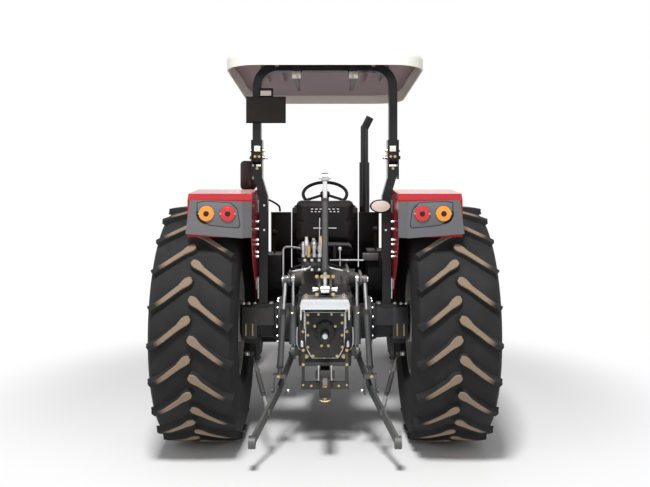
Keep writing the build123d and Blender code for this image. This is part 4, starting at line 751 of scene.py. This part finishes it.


# a thin bright sheet on the face of the guard over the power take-off: a painted highlight where the light from
# above falls on it
slab("guard_front", (-0.158, -1.7382, 1.010), (0.158, -1.7370, 1.074), "zinc_sheet", 0.0004)

# hydraulic couplers and pipes over the lift housing
for i, (x, y, z0, z1) in enumerate(((-0.150, -1.560, 1.345, 1.452), (-0.112, -1.560, 1.345, 1.425),
                                    (-0.074, -1.560, 1.345, 1.462), (-0.036, -1.560, 1.345, 1.430),
                                    (0.000, -1.560, 1.345, 1.448), (-0.130, -1.480, 1.345, 1.480),
                                    (-0.080, -1.480, 1.345, 1.470), (-0.030, -1.480, 1.345, 1.485))):
    high = z1 - z0
    slot = "yellow_zinc" if i % 3 == 1 else "zinc_sheet" if i % 2 else "bright_steel"
    lathe(f"coupler_{i}", (x, y, z0), UP, [((0, 0.016), (0.020, 0.016)), ((0.020, 0.011), (0.45 * high, 0.011)),
                                           ((0.45 * high, 0.0155), (0.8 * high, 0.0155), (0.84 * high, 0.012),
                                            (high, 0.012))], slot, 16)
for i, (x0, x1, z) in enumerate(((-0.150, -0.235, 1.30), (-0.100, -0.255, 1.275), (0.0, 0.110, 1.31),
                                 (0.02, 0.150, 1.28))):
    tube(f"remote_pipe_{i}", [(x0, -1.600, z + 0.01), (x0, -1.622, z), (0.5 * (x0 + x1), -1.628, z - 0.012),
                              (x1, -1.60, z - 0.03), (x1, -1.50, z - 0.05)], 0.0065,
         "bright_steel" if i % 2 else "black_plastic")
bolts("valve_bolts", [((x, -1.5975, z), BACK, 0.020) for x in (-0.138, -0.09, -0.04, 0.006)
                      for z in (1.262, 1.327)], "zinc_sheet")
tube("lever_rod", [(0.035, -1.25, 1.293), (0.160, -1.25, 1.295), (0.280, -1.25, 1.293)], 0.006, "zinc_sheet")
lathe("dip_rod", (0.106, -1.42, 1.24), UP, [((0, 0.005), (0.135, 0.005)),
                                            ((0.135, 0.010), (0.142, 0.0145), (0.156, 0.0145), (0.163, 0.009))],
      "zinc_sheet", 16)
tube("return_pipe", [(-0.304, -1.26, 1.10), (-0.304, -1.26, 1.33), (-0.304, -1.26, 1.388), (-0.255, -1.28, 1.393),
                     (-0.176, -1.36, 1.388)], 0.0075, "zinc_sheet")
slab("lever_quadrant", (0.288, -0.960, 1.262), (0.412, -0.930, 1.318), "hitch_steel", 0.004)
bolts("lift_cover_bolts", [((s * x, -1.6875, z), BACK, 0.026) for s in (-1, 1)
                           for x, z in ((0.055, 1.105), (0.055, 1.225), (0.020, 1.225))], "yellow_zinc")
bolts("lift_top_bolts", [((s * 0.16, y, 1.2415), UP, 0.026) for s in (-1, 1)
                         for y in (-1.55, -1.42, -1.29, -1.16, -1.03, -0.92)], "bright_steel")


# ---------------------------------------------------------------- roll bar, canopy and plate

# the liner's line from the rear edge forwards: (y, z)
CANOPY = ((-1.6535, 2.700), (-1.60, 2.714), (-1.50, 2.720), (-1.30, 2.7225), (-0.80, 2.7225), (-0.50, 2.712),
          (-0.20, 2.690), (0.03, 2.664), (0.118, 2.650))


def liner(name, drop, half, y0, y1, slot):
    """A sheet under the canopy's top, at a drop below its own line, with the canopy's corners in plan; in the
    grey-mauve liner_cloth finish it paints the shade on the canopy's underside.
    """
    stations = sorted({y for y, _ in CANOPY if y0 < y < y1} | {y0, y1} |
                      {y0 + CANOPY_CORNER * s for s in (0.06, 0.2, 0.45)} |
                      {y1 - CANOPY_CORNER * s for s in (0.06, 0.2, 0.45)})
    verts, faces = [], []
    for y in stations:
        z = next(a[1] + (b[1] - a[1]) * (y - a[0]) / (b[0] - a[0])
                 for a, b in zip(CANOPY, CANOPY[1:]) if y <= b[0] + 1e-9)
        near = max(0.0, CANOPY_CORNER - min(y - CANOPY[0][0], CANOPY[-1][0] - y))
        w = min(half, CANOPY_HALF - CANOPY_CORNER + math.sqrt(max(0.0, CANOPY_CORNER ** 2 - near ** 2)))
        verts += [(-w, y, z - drop), (w, y, z - drop)]
    for i in range(len(stations) - 1):
        faces.append((2 * i, 2 * i + 2, 2 * i + 3, 2 * i + 1))
    mesh = bpy.data.meshes.new(name)
    mesh.from_pydata(verts, [], faces)
    return settle(name, mesh, slot, "hoop", False)


# grey-mauve sheets under the canopy that paint the shade on its underside
liner("canopy_liner", 0.0, CANOPY_HALF, -1.6535, 0.118, "liner_cloth")
liner("liner_panel", 0.006, 0.30, -1.20, -0.10, "liner_cloth")
for side, word in SIDES:
    # ribs under the canopy, in the same grey-mauve painted shade
    for x in (0.345, 0.470):
        flank_slab(f"canopy_rib_{word}_{x}", side, (x - 0.015, -1.45, 2.690), (x + 0.015, -0.45, 2.7235),
                   "liner_cloth", 0.004, "hoop")
    flank_slab("canopy_strap_" + word, side, (0.163, -1.400, 2.640), (0.230, -1.388, 2.735), "black_paint", 0.002,
               "hoop")
    flank_slab("strap_bracket_" + word, side, (0.172, -1.410, 2.599), (0.234, -1.401, 2.649), "zinc_sheet", 0.002,
               "hoop")
    bolts("strap_bolts_" + word, [((side * x, -1.4105, z), BACK, 0.020)
                                  for x, z in ((0.210, 2.636), (0.196, 2.612))], "yellow_zinc", "hoop")
    # fold joint: pin heads, spacer and catch
    bolts("fold_heads_" + word, [((side * 0.4475, FOLD_Y, z), (-side, 0, 0), 0.034) for z in (2.09, 2.04)] +
          [((side * 0.5285, FOLD_Y, z), (side, 0, 0), 0.030) for z in (2.09,)], "yellow_zinc")
    lathe("fold_knob_" + word, (side * 0.4475, -1.3400, 2.040), (-side, 0, 0),
          [((0, 0.006), (0.022, 0.006)), ((0.022, 0.013), (0.036, 0.013))], "zinc_sheet", 16)
    flank_slab("fold_patch_" + word, side, (0.462, -1.3765, 2.082), (0.506, -1.3745, 2.122), "cream_plastic",
               0.0008, "hoop")
    bolts("fold_face_" + word, [((side * x, -1.3755, z), BACK, 0.020)
                                for x, z in ((0.470, 2.045), (0.500, 2.045), (0.485, 1.96))], "yellow_zinc")
    for z in (1.696, 1.520):
        flank_slab(f"post_light_patch_{word}_{z}", side, (0.429, -1.3690, z - 0.006), (0.441, -1.3680, z + 0.006),
                   "cream_plastic", 0.0004)
    bolts("foot_plate_bolts_" + word, [((side * x, -1.3860, 0.997), UP, 0.028) for x in (0.385, 0.500)],
          "zinc_sheet")
    # fastenings down the inner wall of the fender
    bolts("fender_bolts_" + word, [((side * 0.4805, -1.39, z), (-side, 0, 0), 0.022)
                                   for z in (1.581, 1.529, 1.452, 1.419, 1.365, 1.333)], "zinc_sheet")

slab("plate_lamp_lens", (-0.458, -1.4088, 2.4760), (-0.382, -1.4068, 2.5120), "clear_lens", 0.0008, "hoop")
slab("plate_face", (-0.556, -1.4090, 2.2910), (-0.287, -1.4070, 2.4660), "plate_brown", 0.0008, "hoop")
bolts("plate_bolts", [((x, -1.4092, 2.452), BACK, 0.014) for x in (-0.52, -0.32)], "black_plastic", "hoop")


# ---------------------------------------------------------------- lamps, mirror and seat

for side, word in SIDES:
    panel = [(0.8302, 1.7252), (0.7885, 1.7343), (0.6165, 1.7252), (0.5715, 1.6802), (0.5565, 1.5831),
             (0.5683, 1.5649), (0.6614, 1.572), (0.7514, 1.5831), (0.8035, 1.6209), (0.8302, 1.6731)]
    plate("lamp_panel_edge_" + word, [(side * (0.69 + (x - 0.69) * 1.035), 1.65 + (z - 1.65) * 1.05)
                                      for x, z in panel], -1.8690, 0.003, "black_plastic", 0.001)
    plate("lamp_panel_" + word, [(side * x, z) for x, z in panel], -1.8702, 0.003, "grey_plastic", 0.001)
for node in ("amber_lamps", "red_lamps"):
    low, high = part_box(node)
    r = (high[2] - low[2]) / 2
    for side, word in SIDES:
        spot = (side * (high[0] - r), low[1], (low[2] + high[2]) / 2)
        kind = "amber_lens" if node[0] == "a" else "red_lens"
        lathe(f"{node}_{word}_bezel", spot, BACK, [((-0.034, r + 0.003), (-0.012, r + 0.003),
                                                    (-0.010, r - 0.001))], "black_plastic", 40)
        lathe(f"{node}_{word}_rings", spot, BACK, [((-0.002, r - 0.008), (0.003, r - 0.011)),
                                                   ((0.000, r - 0.018), (0.005, r - 0.021)),
                                                   ((0.002, 0.030), (0.007, 0.027))], kind, 40)
        lathe(f"{node}_{word}_middle", spot, BACK, [(0, 0.0195), (0.008, 0.0185), (0.011, 0.014)], "lamp_dark",
              24)
        bolts(f"{node}_{word}_screws", [((spot[0] + s * (r - 0.010), spot[1] - 0.003, spot[2]), BACK, 0.010)
                                        for s in (-1, 1)], "bright_steel")

head = plate("mirror_head", rounded(-0.682, 1.926, 0.032, 0.092, 0.038), -0.0215, 0.058, "black_plastic", 0.012)
knee = tube("mirror_arm", [(-0.401, 0.008, 1.604), (-0.401, 0.008, 1.644), (-0.425, 0.008, 1.668),
                           (-0.490, 0.008, 1.706), (-0.640, 0.008, 1.760), (-0.682, 0.008, 1.778),
                           (-0.682, 0.008, 1.812)], 0.0088, "black_plastic")
mirror = join("mirror_made", [head, knee])
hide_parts("mirror")
plate("mirror_glass", rounded(-0.682, 1.926, 0.026, 0.084, 0.036), -0.0219, 0.002, "lamp_dark", 0.0005)

LAMP_X, LAMP_Z = 0.3945, 1.6915
oval = [(0.0765 * math.cos(math.tau * i / 32), 0.0480 * math.sin(math.tau * i / 32)) for i in range(32)]
lens = plate("work_lamp_lens", [(LAMP_X + x * 0.87, LAMP_Z + z * 0.84) for x, z in oval], -1.4276, 0.012,
             "clear_lens", 0.004)
rim = plate("work_lamp_rim", [(LAMP_X + x, LAMP_Z + z) for x, z in oval], -1.4230, 0.050, "black_plastic", 0.008)
tail = lathe("work_lamp_stalk", (LAMP_X, -1.390, 1.6405), UP, [(0, 0.012), (0.016, 0.012)], "black_plastic", 16)
work = join("work_lamp_made", [lens, rim, tail])
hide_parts("work_lamp")

low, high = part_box("seat_backrest")
for z, count, width in ((1.663, 7, 0.016), (1.644, 8, 0.014), (1.522, 2, 0.060)):
    for i in range(count):
        x = -0.112 + 0.224 * (i + 0.5) / count
        slab(f"seat_slot_{z}_{i}", (x - width / 2, low[1] - 0.0012, z - 0.0035),
             (x + width / 2, low[1] + 0.002, z + 0.0035), "zinc_sheet", 0.0005)


# ---------------------------------------------------------------- front

low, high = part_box("grille")
for i in range(10):
    z = low[2] + 0.018 + (high[2] - low[2] - 0.036) * i / 9
    slab(f"grille_bar_{i}", (low[0] + 0.010, high[1] - 0.002, z - 0.004),
         (high[0] - 0.010, high[1] + 0.0015, z + 0.004), "grey_plastic", 0.001, "bonnet_lid")
for x in (-0.145, 0.0, 0.145):
    slab(f"grille_post_{x}", (x - 0.006, high[1] - 0.002, low[2] + 0.01),
         (x + 0.006, high[1] + 0.002, high[2] - 0.01), "black_plastic", 0.001, "bonnet_lid")
low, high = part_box("headlamps")
for side, word in SIDES:
    mid = ((high[0] - 0.045) * side, high[1], (low[2] + high[2]) / 2)
    lathe("headlamp_ring_" + word, mid, (0, 1, 0), [((-0.004, 0.0335), (0.002, 0.0335), (0.003, 0.031))],
          "bright_steel", 32, "bonnet_lid")
    lathe("headlamp_bulb_" + word, mid, (0, 1, 0), [(0, 0.028), (0.004, 0.026), (0.006, 0.010)], "clear_lens", 32,
          "bonnet_lid")
    wheel = "front_wheel_" + word[0]
    bolts("front_wheel_nuts_" + word, [(p, (side, 0, 0), 0.030)
                                       for p in circle(side * 0.912, FRONT_AXLE, 0.140, 8)], "bright_steel",
          wheel)


# ---------------------------------------------------------------- studio

def plain_stage():
    """A pale floor that keeps the shadow, and a white surround for the camera and for reflections."""
    mesh = bpy.data.meshes.new("floor")
    mesh.from_pydata([(-60, -30, 0), (60, -30, 0), (60, 90, 0), (-60, 90, 0)], [], [(0, 1, 2, 3)])
    floor = bpy.data.objects.new("floor", mesh)
    add_object(floor)
    m = bpy.data.materials.new("floor_finish")
    m.use_nodes = True
    nodes, new, link = m.node_tree.nodes, m.node_tree.nodes.new, m.node_tree.links.new
    shader = nodes["Principled BSDF"]
    shader.inputs["Base Color"].default_value = (0.9, 0.9, 0.9, 1)
    shader.inputs["Roughness"].default_value = 0.9
    # the floor's shade fades to pure white away from the tractor
    coord, away, fade = new("ShaderNodeTexCoord"), new("ShaderNodeVectorMath"), new("ShaderNodeMapRange")
    away.operation = "LENGTH"
    link(coord.outputs["Object"], away.inputs[0])
    link(away.outputs["Value"], fade.inputs["Value"])
    fade.interpolation_type = "SMOOTHSTEP"
    fade.inputs["From Min"].default_value = 1.9
    fade.inputs["From Max"].default_value = 3.4
    rays, plain, mix = new("ShaderNodeLightPath"), new("ShaderNodeEmission"), new("ShaderNodeMixShader")
    blend = new("ShaderNodeMath")
    blend.operation = "MULTIPLY"
    link(fade.outputs["Result"], blend.inputs[0])
    link(rays.outputs["Is Camera Ray"], blend.inputs[1])
    link(blend.outputs[0], mix.inputs["Fac"])
    link(shader.outputs["BSDF"], mix.inputs[1])
    link(plain.outputs["Emission"], mix.inputs[2])
    link(mix.outputs["Shader"], nodes["Material Output"].inputs["Surface"])
    mesh.materials.append(m)
    world = bpy.data.worlds.new("surround")
    bpy.context.scene.world = world
    world.use_nodes = True
    nodes, new, link = world.node_tree.nodes, world.node_tree.nodes.new, world.node_tree.links.new
    sky = nodes["Background"]
    sky.inputs["Color"].default_value = (1, 1, 1, 1)
    rays = new("ShaderNodeLightPath")
    seen, either, level = new("ShaderNodeMath"), new("ShaderNodeMath"), new("ShaderNodeMapRange")
    seen.operation = either.operation = "MAXIMUM"
    link(rays.outputs["Is Camera Ray"], seen.inputs[0])
    link(rays.outputs["Is Glossy Ray"], seen.inputs[1])
    link(seen.outputs[0], either.inputs[0])
    link(rays.outputs["Is Transmission Ray"], either.inputs[1])
    link(either.outputs[0], level.inputs["Value"])
    level.inputs["To Min"].default_value = 0.2
    level.inputs["To Max"].default_value = 1.0
    link(level.outputs["Result"], sky.inputs["Strength"])


def lamp(name, place, target, size, watts):
    light = bpy.data.lights.new(name, "AREA")
    light.shape = "RECTANGLE"
    light.size, light.size_y = size
    light.energy = watts
    holder = bpy.data.objects.new(name, light)
    holder.location = place
    holder.rotation_euler = (Vector(target) - Vector(place)).to_track_quat("-Z", "Y").to_euler()
    add_object(holder)


plain_stage()
lamp("key", (-0.6, -6.4, 9.0), (0, -0.6, 0.6), (1.6, 1.6), 860)
lamp("left", (-6.0, -6.0, 3.5), (0, -0.8, 1.2), (4, 4), 95)
lamp("right", (6.0, -6.0, 3.0), (0, -0.8, 1.2), (4, 4), 80)
lamp("front", (1.0, 7.5, 6.0), (0, 0.5, 1.2), (6, 4), 120)

view = bpy.data.cameras.new("camera")
view.lens = 43.3
view.shift_y = -0.0915
camera = bpy.data.objects.new("camera", view)
camera.location = (0, -6.9575, 1.849)
camera.rotation_euler = (math.pi / 2, 0, 0)
add_object(camera)
bpy.context.scene.camera = camera

bpy.data.objects.remove(HEAD)
bpy.context.scene.view_settings.view_transform = "Standard"
